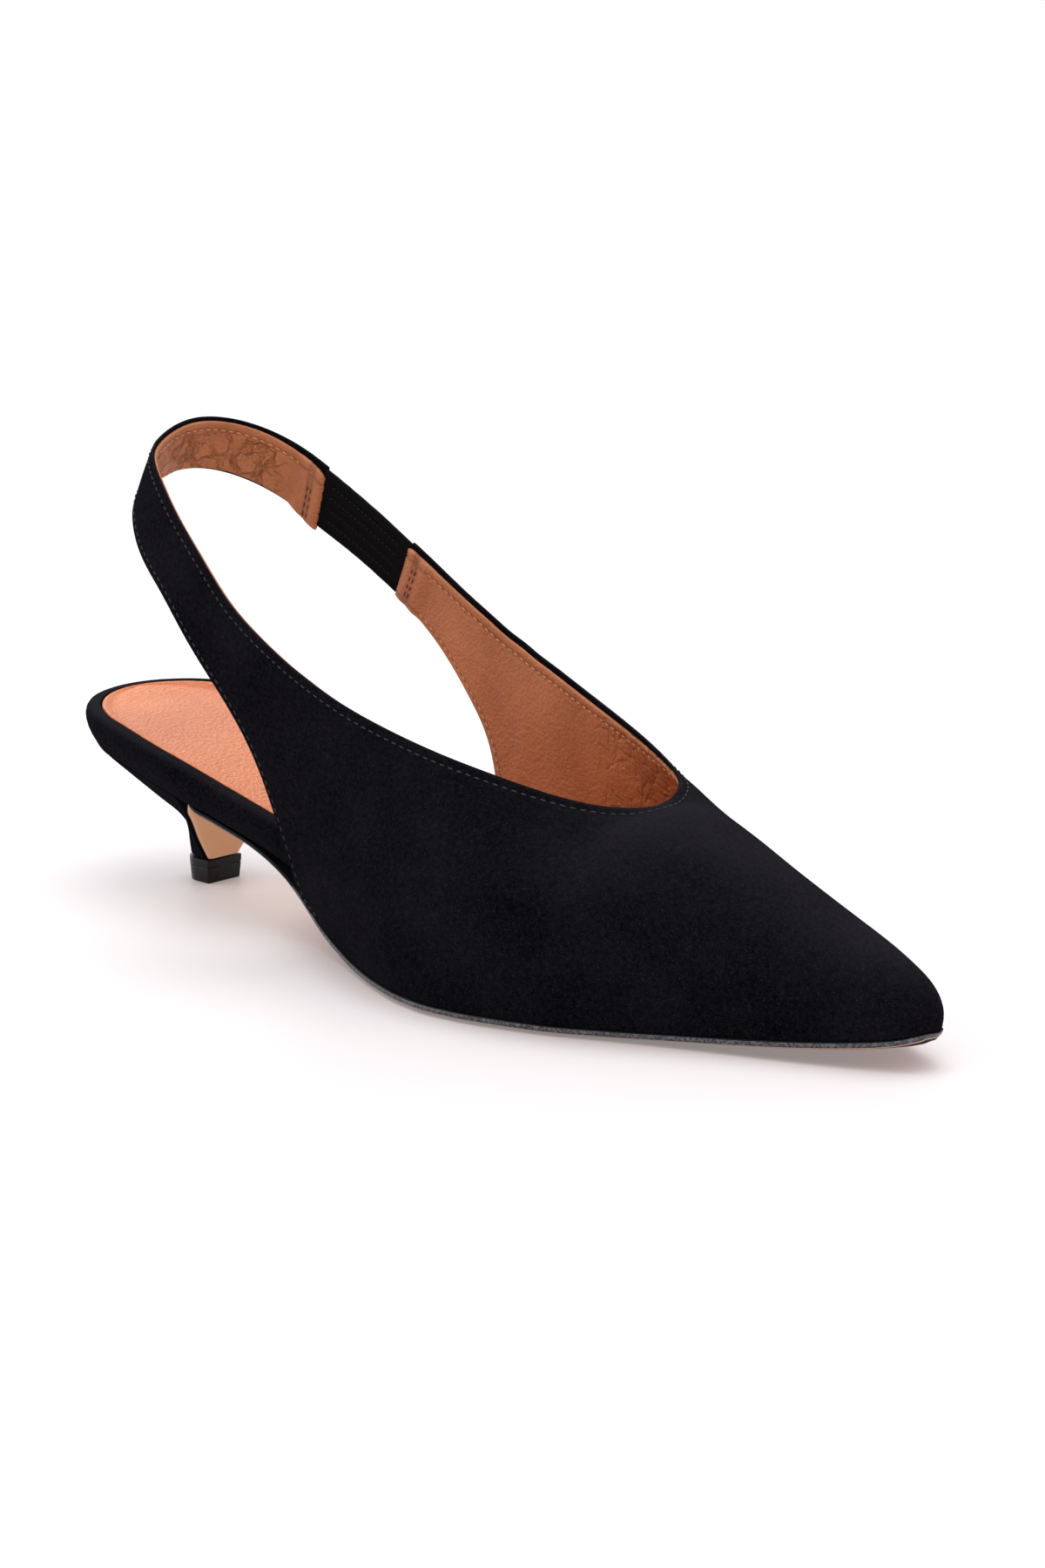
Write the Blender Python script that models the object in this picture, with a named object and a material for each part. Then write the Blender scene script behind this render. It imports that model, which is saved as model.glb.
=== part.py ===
import math

import bpy
import numpy as np

# Right shoe, sizes in millimetres, turned into metres when each mesh is made.
MM = 0.001

# Main sizes of the last, heights above the floor.
LAST_LENGTH = 265.0
BALL_WIDTH = 78.8
SEAT_HEIGHT = 48.1
THROAT_HEIGHT = 46.6
STRAP_HEIGHT = 120.6
SEAT_RADIUS = 29.5
SEAT_BACK = -4.0

# Clearance between neighbouring pieces.
GAP = 0.3

# Upper, strap and elastic.
UPPER_WALL = 1.8
GORE_WALL = 1.3
GORE_GAP_ROWS = 0.02
THROAT_SLOPE = -0.16
THROAT_FULL = 0.36
FLAT_FOOT_HEIGHT = 14.0

# Columns along each stretch of the upper and points up each column.
STRAP_STEPS = 58
SIDE_STEPS = 22
VAMP_STEPS = 24
WING_STEPS = 18
GORE_STEPS = 9
RIB_STEPS = 9
GORE_RIB_STEPS = 6

# Evening out of the columns round the ends of the throat.
FAIR_REACH = 16
FAIR_PASSES = 20
FAIR_SHARE = np.array([0.3, 0.5, 0.5, 0.45, 0.38, 0.22, 0.08])

# Seat platform and sock.
PLATFORM_STEPS = 49
PLATFORM_TUCK = 4.0
PLATFORM_RIM = 4.0
STEP_IN_START = 62.0
STEP_IN_END = 94.0
SOCK_EDGE = 2.6
SOCK_DISH = 1.1
SOCK_FRONT = 246.0
SOCK_SHARES = (0.0, 0.1, 0.22, 0.5, 0.78, 0.9, 1.0)

# Sole, shank stretch and the flap down the heel's breast.
SOLE_STEPS = 44
SOLE_THICK = 2.3
SHANK_THICK = 1.6
FLAP_THICK = 1.6
SOLE_LEDGE = 0.5
SOLE_BEVEL = 0.5
SEAT_UNDER = 34.4
TREAD_UP = SOLE_THICK + GAP

# Heel block and top piece.
HEEL_AXIS = 28.8
HEEL_FRONT = 45.4
HEEL_STEPS = 15
TIP_LENGTH = 11.0
TIP_WIDTH = 11.8
TIP_HEIGHT = 6.4
TIP_TAPER = 0.4
TIP_BEVEL = 0.25
TIP_STEPS = 15

# Colours measured by eye, linear.
SUEDE = (0.0035, 0.0035, 0.0042)
TAN = (0.62, 0.24, 0.1)
SOLE_TAN = (0.45, 0.24, 0.11)
BLACK_GLOSS = (0.006, 0.006, 0.007)
BLACK_RUBBER = (0.008, 0.008, 0.009)
ELASTIC = (0.005, 0.005, 0.006)


def scaled(rows, *sizes):
    # Turns a table of shares into millimetres, one size for each column.
    return [tuple(share * size for share, size in zip(row, sizes)) for row in rows]


# Feather line: station, lateral half width, medial half width.
OUTLINE = scaled([
    (0.1509, 0.3832, 0.3591),
    (0.2075, 0.3731, 0.3401),
    (0.2642, 0.3629, 0.3198),
    (0.3208, 0.3591, 0.3046),
    (0.3623, 0.3744, 0.3020),
    (0.3925, 0.3959, 0.3122),
    (0.4226, 0.4213, 0.3249),
    (0.4566, 0.4645, 0.3426),
    (0.5057, 0.5330, 0.3706),
    (0.5509, 0.5812, 0.3934),
    (0.5849, 0.5964, 0.4036),
    (0.6226, 0.5838, 0.4010),
    (0.6566, 0.5546, 0.3883),
    (0.6981, 0.5089, 0.3629),
    (0.7453, 0.4340, 0.3249),
    (0.7925, 0.3604, 0.2817),
    (0.8491, 0.2817, 0.2272),
    (0.9019, 0.2094, 0.1713),
    (0.9472, 0.1396, 0.1180),
    (0.9736, 0.0939, 0.0787),
], LAST_LENGTH, BALL_WIDTH, BALL_WIDTH)

# Sock edge: station, height.
SOCK = scaled([
    (-0.0151, 1.0000),
    (0.0377, 0.9771),
    (0.0679, 0.9543),
    (0.0962, 0.9252),
    (0.1321, 0.8794),
    (0.1698, 0.8295),
    (0.2000, 0.7838),
    (0.2528, 0.7006),
    (0.3057, 0.6091),
    (0.3547, 0.5281),
    (0.4000, 0.4324),
    (0.4453, 0.3410),
    (0.4906, 0.2620),
    (0.5358, 0.2058),
    (0.5849, 0.1788),
    (0.6415, 0.1726),
    (0.7170, 0.1726),
    (0.8302, 0.1913),
    (0.9283, 0.2328),
    (0.9962, 0.2744),
], LAST_LENGTH, SEAT_HEIGHT)

# Platform underside: station, height above the tread.
UNDERSIDE = scaled([
    (-0.0151, 1.0000),
    (0.0377, 0.9733),
    (0.0962, 0.9169),
    (0.1321, 0.8516),
    (0.1623, 0.7893),
    (0.1887, 0.7329),
    (0.2151, 0.6884),
    (0.2377, 0.6409),
    (0.2642, 0.5816),
    (0.2868, 0.5223),
    (0.3094, 0.4540),
    (0.3321, 0.3739),
    (0.3547, 0.2908),
    (0.3774, 0.2018),
    (0.4000, 0.1246),
    (0.4226, 0.0623),
    (0.4453, 0.0237),
    (0.4717, 0.0045),
    (0.4981, 0.0000),
    (0.7094, 0.0000),
    (0.7547, 0.0074),
    (0.8113, 0.0267),
    (0.8679, 0.0530),
    (0.9245, 0.0910),
    (0.9736, 0.1430),
    (0.9962, 0.1960),
], LAST_LENGTH, SEAT_UNDER)

# Elastic, strap and lateral wing: head station, out, up, foot station, out, up, head turn, foot turn.
STRAP_START = 3
STRAP = scaled([
    (0.2774, 0.4061, 0.7479, 0.2498, 0.4264, 0.6335, 3, 3),
    (0.2415, 0.3934, 0.7993, 0.2158, 0.4112, 0.6816, 3, 3),
    (0.2068, 0.3782, 0.8458, 0.1830, 0.3959, 0.7231, 3, 3),
    (0.1751, 0.3579, 0.8889, 0.1547, 0.3706, 0.7612, 3, 3),
    (0.1457, 0.3325, 0.9270, 0.1283, 0.3338, 0.8035, 3, 3),
    (0.1192, 0.2741, 0.9619, 0.1057, 0.2602, 0.8458, 3, 3),
    (0.1004, 0.1586, 0.9917, 0.0838, 0.1459, 0.8814, 3, 3),
    (0.0928, 0.0000, 1.0000, 0.0713, 0.0000, 0.8905, 3, 3),
    (0.1030, -0.1586, 0.9751, 0.0808, -0.1713, 0.8640, 3, 3),
    (0.1268, -0.2665, 0.9453, 0.1057, -0.2919, 0.8209, 3, 3),
    (0.1623, -0.3350, 0.9005, 0.1396, -0.3604, 0.7529, 3, 3),
    (0.1985, -0.3782, 0.8425, 0.1819, -0.4010, 0.6874, 3, 3),
    (0.2430, -0.4188, 0.7745, 0.2249, -0.4213, 0.5987, 3, 4),
    (0.2921, -0.4556, 0.6990, 0.2679, -0.4315, 0.5141, 3, 4),
    (0.3374, -0.4734, 0.6434, 0.3072, -0.4264, 0.4146, 3, 5),
    (0.3766, -0.4860, 0.6045, 0.3328, -0.4137, 0.3027, 3, 6),
    (0.4038, -0.4937, 0.5821, 0.3483, -0.3985, 0.1990, 3, 7),
    (0.4264, -0.4975, 0.5638, 0.3608, -0.3744, 0.1012, 3, 9),
], LAST_LENGTH, BALL_WIDTH, STRAP_HEIGHT, LAST_LENGTH, BALL_WIDTH, STRAP_HEIGHT, 1, 1)

# Lateral side to the throat: head station, out, up, foot station, head turn, foot turn.
SIDE_LATERAL = scaled([
    (0.4264, -0.4975, 1.4592, 0.3608, 3, 9),
    (0.4604, -0.4924, 1.3906, 0.4038, 4, 14),
    (0.5094, -0.4746, 1.3090, 0.4604, 8, 19),
    (0.5660, -0.4429, 1.2275, 0.5245, 13, 25),
    (0.6113, -0.3959, 1.1631, 0.5811, 20, 30),
    (0.6491, -0.3401, 1.1030, 0.6264, 28, 32),
    (0.6792, -0.2792, 1.0579, 0.6679, 34, 34),
    (0.6981, -0.1904, 1.0215, 0.6981, 39, 39),
    (0.7075, -0.0508, 1.0000, 0.7208, 49, 47),
], LAST_LENGTH, BALL_WIDTH, THROAT_HEIGHT, LAST_LENGTH, 1, 1)

# Medial side to the throat: head station, out, up, foot station, head turn, foot turn.
SIDE_MEDIAL = scaled([
    (0.4415, 0.4010, 1.4421, 0.4151, 3, 9),
    (0.4679, 0.3871, 1.3948, 0.4415, 5, 10),
    (0.5094, 0.3617, 1.3197, 0.4755, 9, 9),
    (0.5660, 0.3185, 1.2275, 0.5358, 16, 15),
    (0.6113, 0.2690, 1.1631, 0.5887, 23, 20),
    (0.6491, 0.2208, 1.1030, 0.6302, 30, 24),
    (0.6792, 0.1624, 1.0558, 0.6679, 46, 30),
    (0.6981, 0.0761, 1.0215, 0.6981, 52, 40),
    (0.7075, -0.0508, 1.0000, 0.7208, 51, 52),
], LAST_LENGTH, BALL_WIDTH, THROAT_HEIGHT, LAST_LENGTH, 1, 1)

# Medial wing up to the elastic, columns as for the strap, the last row only steers the curve.
WING_MEDIAL = scaled([
    (0.4415, 0.4010, 0.5572, 0.4151, 0.3211, 0.0506, 3, 9),
    (0.4226, 0.4061, 0.5755, 0.4098, 0.3528, 0.1617, 3, 8),
    (0.4038, 0.4086, 0.5920, 0.4000, 0.3782, 0.2653, 3, 7),
    (0.3774, 0.4124, 0.6211, 0.3811, 0.4010, 0.3632, 3, 6),
    (0.3472, 0.4137, 0.6559, 0.3472, 0.4175, 0.4519, 3, 5),
    (0.3132, 0.4124, 0.6998, 0.3034, 0.4264, 0.5473, 3, 4),
    (0.2774, 0.4061, 0.7479, 0.2498, 0.4264, 0.6302, 3, 3),
    (0.2415, 0.3934, 0.7927, 0.2158, 0.4112, 0.6750, 3, 3),
], LAST_LENGTH, BALL_WIDTH, STRAP_HEIGHT, LAST_LENGTH, BALL_WIDTH, STRAP_HEIGHT, 1, 1)

# Vamp: crest station, out, up, lateral foot station, medial foot station, lateral and medial foot turn.
VAMP = scaled([
    (0.7075, -0.0508, 1.0000, 0.7208, 0.7208, 47, 52),
    (0.7547, -0.0406, 0.9630, 0.7698, 0.7698, 46, 50),
    (0.8075, -0.0292, 0.8580, 0.8226, 0.8226, 41, 47),
    (0.8604, -0.0165, 0.7310, 0.8792, 0.8792, 34, 38),
    (0.9057, -0.0076, 0.6270, 0.9321, 0.9321, 33, 36),
    (0.9358, -0.0025, 0.5570, 0.9717, 0.9717, 43, 44),
    (0.9547, 0.0000, 0.5150, 1.0000, 1.0000, 56, 56),
], LAST_LENGTH, BALL_WIDTH, THROAT_HEIGHT, LAST_LENGTH, LAST_LENGTH, 1, 1)

# Platform's side wall: share of the tuck, share of the height.
PLATFORM_SIDE = [
    (1.0, 0.0),
    (0.42, 0.28),
    (0.1, 0.55),
    (0.0, 0.75),
    (0.1, 0.9),
    (0.45, 0.985),
]

# Sole where it turns down behind the shank: station below, drop, station above, drop, half widths.
SOLE_TURN = [
    (57.0, 0.0, 57.0, 0.0, 25.9, 23.3),
    (54.5, 0.0, 54.5, 0.0, 26.0, 23.5),
    (52.0, 0.0, 52.0, 0.0, 25.8, 23.8),
    (49.6, 0.2, 48.4, 0.0, 24.6, 23.4),
    (47.8, 0.9, 46.2, 0.3, 22.8, 22.4),
]

# Heel block: back station, up, breast station, up, half width, back fullness, side fullness.
# Both heights are shares of the way up from the top piece.
HEEL_LOW = TIP_HEIGHT + GAP
HEEL_UP = SEAT_HEIGHT - HEEL_LOW
HEEL = scaled([
    (0.0283, 0.5628, 0.1698, 0.4227, 0.2716, 0.7, 1),
    (0.0566, 0.4179, 0.1592, 0.3454, 0.2284, 0.5, 0.84),
    (0.0755, 0.2923, 0.1468, 0.2488, 0.1764, 0.42, 0.7),
    (0.0845, 0.1885, 0.1377, 0.1619, 0.1358, 0.46, 0.72),
    (0.0875, 0.0918, 0.1325, 0.0797, 0.1015, 0.62, 0.86),
    (0.0883, 0.0049, 0.1298, 0.0024, 0.0736, 0.78, 1.04),
], LAST_LENGTH, HEEL_UP, LAST_LENGTH, HEEL_UP, BALL_WIDTH, 1, 1)
HEEL = [(a, b + HEEL_LOW, c, d + HEEL_LOW, e, f, g) for a, b, c, d, e, f, g in HEEL]


def monotone(rows, column=1):
    # Smooth curve through table rows that never overshoots them.
    xs = np.array([row[0] for row in rows], float)
    ys = np.array([row[column] for row in rows], float)
    step = np.diff(xs)
    slope = np.diff(ys) / step
    tangent = np.zeros(len(xs))
    tangent[0], tangent[-1] = slope[0], slope[-1]
    for i in range(1, len(xs) - 1):
        if slope[i - 1] * slope[i] > 0:
            a = 2 * step[i] + step[i - 1]
            b = step[i] + 2 * step[i - 1]
            tangent[i] = (a + b) / (a / slope[i - 1] + b / slope[i])

    def value(x):
        x = np.clip(x, xs[0], xs[-1])
        i = np.clip(np.searchsorted(xs, x) - 1, 0, len(step) - 1)
        s = (x - xs[i]) / step[i]
        h = step[i]
        return ((1 + 2 * s) * (1 - s) ** 2 * ys[i] + s * (1 - s) ** 2 * h * tangent[i]
                + s * s * (3 - 2 * s) * ys[i + 1] + s * s * (s - 1) * h * tangent[i + 1])

    return value


def flowing(rows):
    # Natural cubic spline through table rows, counted 0, 1, 2 along the table.
    data = np.array(rows, float)
    n = len(data)
    matrix = np.eye(n)
    right = np.zeros_like(data)
    for i in range(1, n - 1):
        matrix[i, i - 1:i + 2] = (1, 4, 1)
        right[i] = 6 * (data[i - 1] - 2 * data[i] + data[i + 1])
    bend = np.linalg.solve(matrix, right)

    def value(q):
        i = int(min(max(math.floor(q), 0), n - 2))
        s = q - i
        r = 1 - s
        return (r * data[i] + s * data[i + 1]
                + (r ** 3 - r) * bend[i] / 6 + (s ** 3 - s) * bend[i + 1] / 6)

    return value


def ease(x, start, end):
    s = np.clip((x - start) / (end - start), 0, 1)
    return s * s * (3 - 2 * s)


def outline_rows():
    # The seat is a circle, the toe closes as a small round nose.
    rows = []
    for degrees in (0, 20, 40, 60, 80):
        a = math.radians(degrees)
        w = SEAT_RADIUS * math.sin(a)
        rows.append((SEAT_BACK + SEAT_RADIUS * (1 - math.cos(a)), w, w))
    rows += OUTLINE
    rows.append((LAST_LENGTH, 0.0, 0.0))
    return [(x, a * a, b * b) for x, a, b in rows]


SQUARED = outline_rows()
LATERAL = monotone(SQUARED, 1)
MEDIAL = monotone(SQUARED, 2)
sock_height = monotone(SOCK)
underside_rise = monotone(UNDERSIDE)


def underside(x):
    return TREAD_UP + underside_rise(x)


def half_width(x, side):
    table = LATERAL if side < 0 else MEDIAL
    return math.sqrt(max(float(table(x)), 0.0))


def stations(start, end, count):
    # Closer together towards both ends, where the outline turns.
    share = 0.5 - 0.5 * np.cos(np.linspace(0, np.pi, count))
    return start + (end - start) * share


def loop(start, end, count, width):
    # Plan loop with pairs of points at shared stations, from the back point round to it again.
    xs = stations(start, end, count)
    lateral = [(x, -width(x, -1)) for x in xs]
    medial = [(x, width(x, 1)) for x in xs]
    return np.array(lateral + medial[-2:0:-1])


def inset(points, distance):
    # Moves a closed loop inwards along its own plan normals.
    ahead = np.roll(points, -1, axis=0)
    behind = np.roll(points, 1, axis=0)
    run = ahead - behind
    run /= np.linalg.norm(run, axis=1)[:, None]
    inward = np.stack([-run[:, 1], run[:, 0]], axis=1)
    distance = np.broadcast_to(np.asarray(distance, float), (len(points),))
    return points + inward * distance[:, None]


def lift(points, heights):
    return np.column_stack([points, heights])


class Body:
    def __init__(self):
        self.points = []
        self.faces = []

    def add(self, points):
        first = len(self.points)
        self.points += [tuple(float(v) for v in p) for p in points]
        return list(range(first, first + len(points)))

    def band(self, low, high, closed=True):
        count = len(low)
        for i in range(count if closed else count - 1):
            j = (i + 1) % count
            self.faces.append((low[i], low[j], high[j], high[i]))

    def cap(self, ring, flip):
        # Fills a ring made by loop(), from one side straight across to the other.
        count = len(ring) // 2 + 1
        left = ring[:count]
        right = [ring[0]] + ring[:count - 1:-1] + [ring[count - 1]]
        for i in range(count - 1):
            face = (left[i], left[i + 1], right[i + 1], right[i])
            self.faces.append(face[::-1] if flip else face)

    def make(self, name, color, finish):
        # Joins points that coincide and drops faces that have lost their area.
        points = (np.array(self.points) - (HEEL_AXIS, 0, 0)) * MM
        keys = {}
        remap = []
        kept = []
        for p in points:
            key = tuple(np.round(p / 2e-6).astype(int))
            if key not in keys:
                keys[key] = len(kept)
                kept.append(tuple(p))
            remap.append(keys[key])
        faces = []
        for face in self.faces:
            ring = []
            for i in face:
                k = remap[i]
                if k not in ring:
                    ring.append(k)
            if len(ring) > 2:
                faces.append(ring)
        mesh = bpy.data.meshes.new(name)
        mesh.from_pydata(kept, [], faces)
        mesh.update()
        mesh.materials.append(material(name, color, finish))
        item = bpy.data.objects.new(name, mesh)
        bpy.context.scene.collection.objects.link(item)
        return item


def material(name, color, finish):
    mat = bpy.data.materials.new(name)
    mat.use_nodes = True
    shader = mat.node_tree.nodes["Principled BSDF"]
    shader.inputs["Base Color"].default_value = (*color, 1)
    shader.inputs["Roughness"].default_value = finish
    mat.diffuse_color = (*color, 1)
    return mat


def unit(v):
    v = np.asarray(v, float)
    return v / max(np.linalg.norm(v), 1e-9)


def crest_arrival(foot, head, slope):
    # Direction of a rib that lies in the crest's tangent plane where it ends.
    run = unit((head - foot)[:2])
    return unit((run[0], run[1], slope * run[0]))


def rib(foot, head, outward, foot_turn, head_turn, count, arrive=None, share=1.0, full=1.0):
    # One cubic from the foot to the head, bowed outwards at both ends by the given turns.
    foot, head = np.asarray(foot, float), np.asarray(head, float)
    chord = head - foot
    size = np.linalg.norm(chord)
    along = chord / size
    out = np.array([outward[0], outward[1], 0.0])
    out = unit(out - along * (out @ along))

    def handle(turn):
        share = 1 / 3 + 0.24 * min(abs(turn) / 45, 1)
        return full * size * share * max(math.cos(math.radians(turn)), 0.3)

    a = math.radians(foot_turn)
    leave = along * math.cos(a) + out * math.sin(a)
    b = math.radians(head_turn)
    turned = along * math.cos(b) - out * math.sin(b)
    if arrive is None:
        arrive = turned
    else:
        arrive = unit(turned * (1 - share) + arrive * share)
        head_turn = math.degrees(math.acos(np.clip(arrive @ along, -1, 1)))
    p1 = foot + leave * handle(foot_turn)
    p2 = head - arrive * handle(head_turn)
    rows = []
    for s in np.linspace(0, 1, count):
        r = 1 - s
        rows.append(r ** 3 * foot + 3 * r * r * s * p1 + 3 * r * s * s * p2 + s ** 3 * head)
    return rows


def feather_point(x, side):
    return np.array([x, side * half_width(x, side), float(underside(x))])


def feather_walk(side):
    # Distance along the feather line, so that feet can be spread evenly round the toe.
    xs = stations(80.0, LAST_LENGTH, 400)
    pts = np.array([feather_point(x, side) for x in xs])
    run = np.concatenate([[0], np.cumsum(np.linalg.norm(np.diff(pts, axis=0), axis=1))])
    return xs, pts, run


WALKS = {-1: feather_walk(-1), 1: feather_walk(1)}


def feather_at(distance, side):
    xs, pts, run = WALKS[side]
    p = np.array([np.interp(distance, run, pts[:, k]) for k in range(3)])
    q = np.array([np.interp(min(distance + 1.5, run[-1]), run, pts[:, k]) for k in range(3)])
    o = np.array([np.interp(distance - 1.5, run, pts[:, k]) for k in range(3)])
    t = unit((q - o)[:2])
    outward = np.array([t[1], -t[0]]) * (-side)
    if distance >= run[-1] - 0.01:
        outward = np.array([1.0, 0.0])
    return p, outward


def feather_distance(x, side):
    xs, pts, run = WALKS[side]
    return float(np.interp(x, xs, run))


STRAP_MIDDLE = np.array([60.0, 0.0])


def edge_columns(table, first, last, count, points, sink=0.0):
    # Columns whose feet are on a free edge: strap, elastic and wings.
    at = flowing(table)
    columns = []
    for q in np.linspace(first, last, count):
        row = at(q)
        before, after = at(max(q - 0.1, 0)), at(min(q + 0.1, len(table) - 1))
        t = unit((after - before)[:2] + (after - before)[3:5] * 0.5)
        outward = np.array([t[1], -t[0]])
        if outward @ (row[:2] - STRAP_MIDDLE) < 0:
            outward = -outward
        inward = np.append(outward, 0) * sink
        columns.append(rib(row[3:6] - inward, row[:3] - inward, outward, row[7], row[6], points))
    return columns


def side_columns(table, side, steps):
    # Columns from the feather line to the topline, rows beyond both ends only steer the curve.
    other = SIDE_MEDIAL if side < 0 else SIDE_LATERAL
    ghost = [row[:3] for row in other[-2:-4:-1]]
    lead = [row[:3] for row in (STRAP[-3:-1] if side < 0 else WING_MEDIAL[2:0:-1])]
    heads = flowing(lead + [row[:3] for row in table] + ghost)
    feet = [feather_distance(row[3], side) for row in table]
    walk = monotone(list(zip(range(len(feet)), feet)))
    turns = flowing([row[4:6] for row in table])
    columns = []
    for q in np.linspace(0, len(table) - 1, steps):
        head = heads(q + 2)
        foot, outward = feather_at(float(walk(q)), side)
        head_turn, foot_turn = turns(q)
        blend = ease(q, 0, 4)
        wall = np.array([0.0, float(side)])
        outward = unit(outward * blend + wall * (1 - blend))
        full = 1 + THROAT_FULL * ease(q, 5, 8)
        arrive, share = crest_arrival(foot, head, THROAT_SLOPE), ease(q, 7, 8)
        columns.append(rib(foot, head, outward, foot_turn, head_turn, RIB_STEPS, arrive, share, full))
    return columns


def vamp_columns(side, steps):
    # Columns from the feather line to the crest of the vamp, round to the toe.
    crest = flowing([row[:3] for row in VAMP])
    feet = [feather_distance(row[3 if side < 0 else 4], side) for row in VAMP]
    walk = monotone(list(zip(range(len(feet)), feet)))
    turns = flowing([(row[5 if side < 0 else 6],) for row in VAMP])
    columns = []
    for q in np.linspace(0, len(VAMP) - 1, steps):
        head = crest(q)
        rise = crest(min(q + 0.05, len(VAMP) - 1)) - crest(max(q - 0.05, 0))
        foot, outward = feather_at(float(walk(q)), side)
        arrive = crest_arrival(foot, head, rise[2] / rise[0])
        full = 1 + THROAT_FULL * (1 - ease(q, 0.3, 2.0))
        columns.append(rib(foot, head, outward, float(turns(q)[0]), 0, RIB_STEPS, arrive, 1.0, full))
    return columns


def upper_columns():
    # All columns of the upper in order, from the strap's medial end round to the medial wing's end.
    columns = []
    strap = edge_columns(STRAP, STRAP_START + GORE_GAP_ROWS, len(STRAP) - 1, STRAP_STEPS, RIB_STEPS)
    lateral = side_columns(SIDE_LATERAL, -1, SIDE_STEPS)[1:] + vamp_columns(-1, VAMP_STEPS)[1:]
    medial = side_columns(SIDE_MEDIAL, 1, SIDE_STEPS) + vamp_columns(1, VAMP_STEPS)[1:-1]
    wing = edge_columns(WING_MEDIAL, 0, len(WING_MEDIAL) - 2 - GORE_GAP_ROWS, WING_STEPS, RIB_STEPS)[1:]
    first = len(strap) + SIDE_STEPS - 2
    second = len(strap) + len(lateral) + VAMP_STEPS - 2
    return faired(strap + lateral + medial[::-1] + wing, (first, second))


def faired(columns, centers):
    # Evens out the ribs round both ends of the throat, feet and heads stay where they are.
    grid = np.array(columns)
    order = np.arange(len(grid))
    share = np.zeros(len(grid))
    for center in centers:
        share = np.maximum(share, 1 - ease(np.abs(order - center), FAIR_REACH * 0.4, FAIR_REACH))
    share = share[1:-1, None, None] * FAIR_SHARE[None, :, None]
    for _ in range(FAIR_PASSES):
        middle = (grid[:-2] + grid[2:]) / 2
        grid[1:-1, 1:-1] += share * (middle - grid[1:-1])[:, 1:-1]
    return [list(line) for line in grid]


def shell(columns, wall, name, color, finish, level_feet):
    # Gives a sheet of columns a wall on its inner side and closes its edges.
    points = []
    index = {}
    grid = []
    for column in columns:
        line = []
        for p in column:
            key = tuple(np.round(np.array(p) / 0.02).astype(int))
            if key not in index:
                index[key] = len(points)
                points.append(np.array(p, float))
            line.append(index[key])
        grid.append(line)
    faces = []
    for a, b in zip(grid[:-1], grid[1:]):
        for j in range(len(a) - 1):
            ring = []
            for k in (a[j], b[j], b[j + 1], a[j + 1]):
                if k not in ring:
                    ring.append(k)
            if len(ring) > 2:
                faces.append(ring)
    points = np.array(points)
    normals = np.zeros_like(points)
    for ring in faces:
        p = points[ring]
        n = np.zeros(3)
        for i in range(len(p)):
            n += np.cross(p[i], p[(i + 1) % len(p)])
        for k in ring:
            normals[k] += n
    normals /= np.linalg.norm(normals, axis=1)[:, None]
    inner = points - normals * wall
    feet = {line[0] for line in grid}
    if level_feet:
        for k in feet:
            if points[k][2] < FLAT_FOOT_HEIGHT:
                inner[k][2] = points[k][2]
    count = len(points)
    edges = {}
    for ring in faces:
        for i in range(len(ring)):
            a, b = ring[i], ring[(i + 1) % len(ring)]
            if (b, a) in edges:
                del edges[(b, a)]
            else:
                edges[(a, b)] = True
    body = Body()
    body.add(points)
    body.add(inner)
    body.faces += [tuple(ring) for ring in faces]
    body.faces += [tuple(k + count for k in ring[::-1]) for ring in faces]
    for a, b in edges:
        body.faces.append((b, a, a + count, b + count))
    return body.make(name, color, finish)


def build_upper():
    return shell(upper_columns(), UPPER_WALL, "upper", SUEDE, 0.95, True)


def build_gore():
    # The elastic lies in the middle of the upper's wall.
    sink = (UPPER_WALL - GORE_WALL) / 2
    first, last = GORE_GAP_ROWS * 0.2, STRAP_START - GORE_GAP_ROWS * 0.2
    columns = edge_columns(STRAP, first, last, GORE_STEPS, GORE_RIB_STEPS, sink)
    return shell(columns, GORE_WALL, "elastic_gore", ELASTIC, 0.8, False)


def platform_loop(count):
    # Bare at the back, inside the upper's wall ahead of the wings.
    points = loop(SEAT_BACK, LAST_LENGTH, count, half_width)
    return inset(points, (UPPER_WALL + GAP) * ease(points[:, 0], STEP_IN_START, STEP_IN_END))


def build_platform():
    edge = platform_loop(PLATFORM_STEPS)
    tuck_share = 0.25 + 0.75 * (1 - ease(edge[:, 0], 96, 135))
    body = Body()
    rings = []
    for tuck, height in PLATFORM_SIDE:
        line = inset(edge, PLATFORM_TUCK * tuck * tuck_share)
        under = underside(line[:, 0])
        rings.append(body.add(lift(line, under + (sock_height(line[:, 0]) - under) * height)))
    rim = inset(edge, PLATFORM_RIM)
    rings.append(body.add(lift(rim, sock_height(rim[:, 0]))))
    rings.append(body.add(lift(rim, sock_height(rim[:, 0]) - SOCK_EDGE - GAP)))
    for low_ring, high_ring in zip(rings[:-1], rings[1:]):
        body.band(low_ring, high_ring)
    body.cap(rings[0], True)
    body.cap(rings[-1], False)
    return body.make("insole_platform", SUEDE, 0.95)


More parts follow.
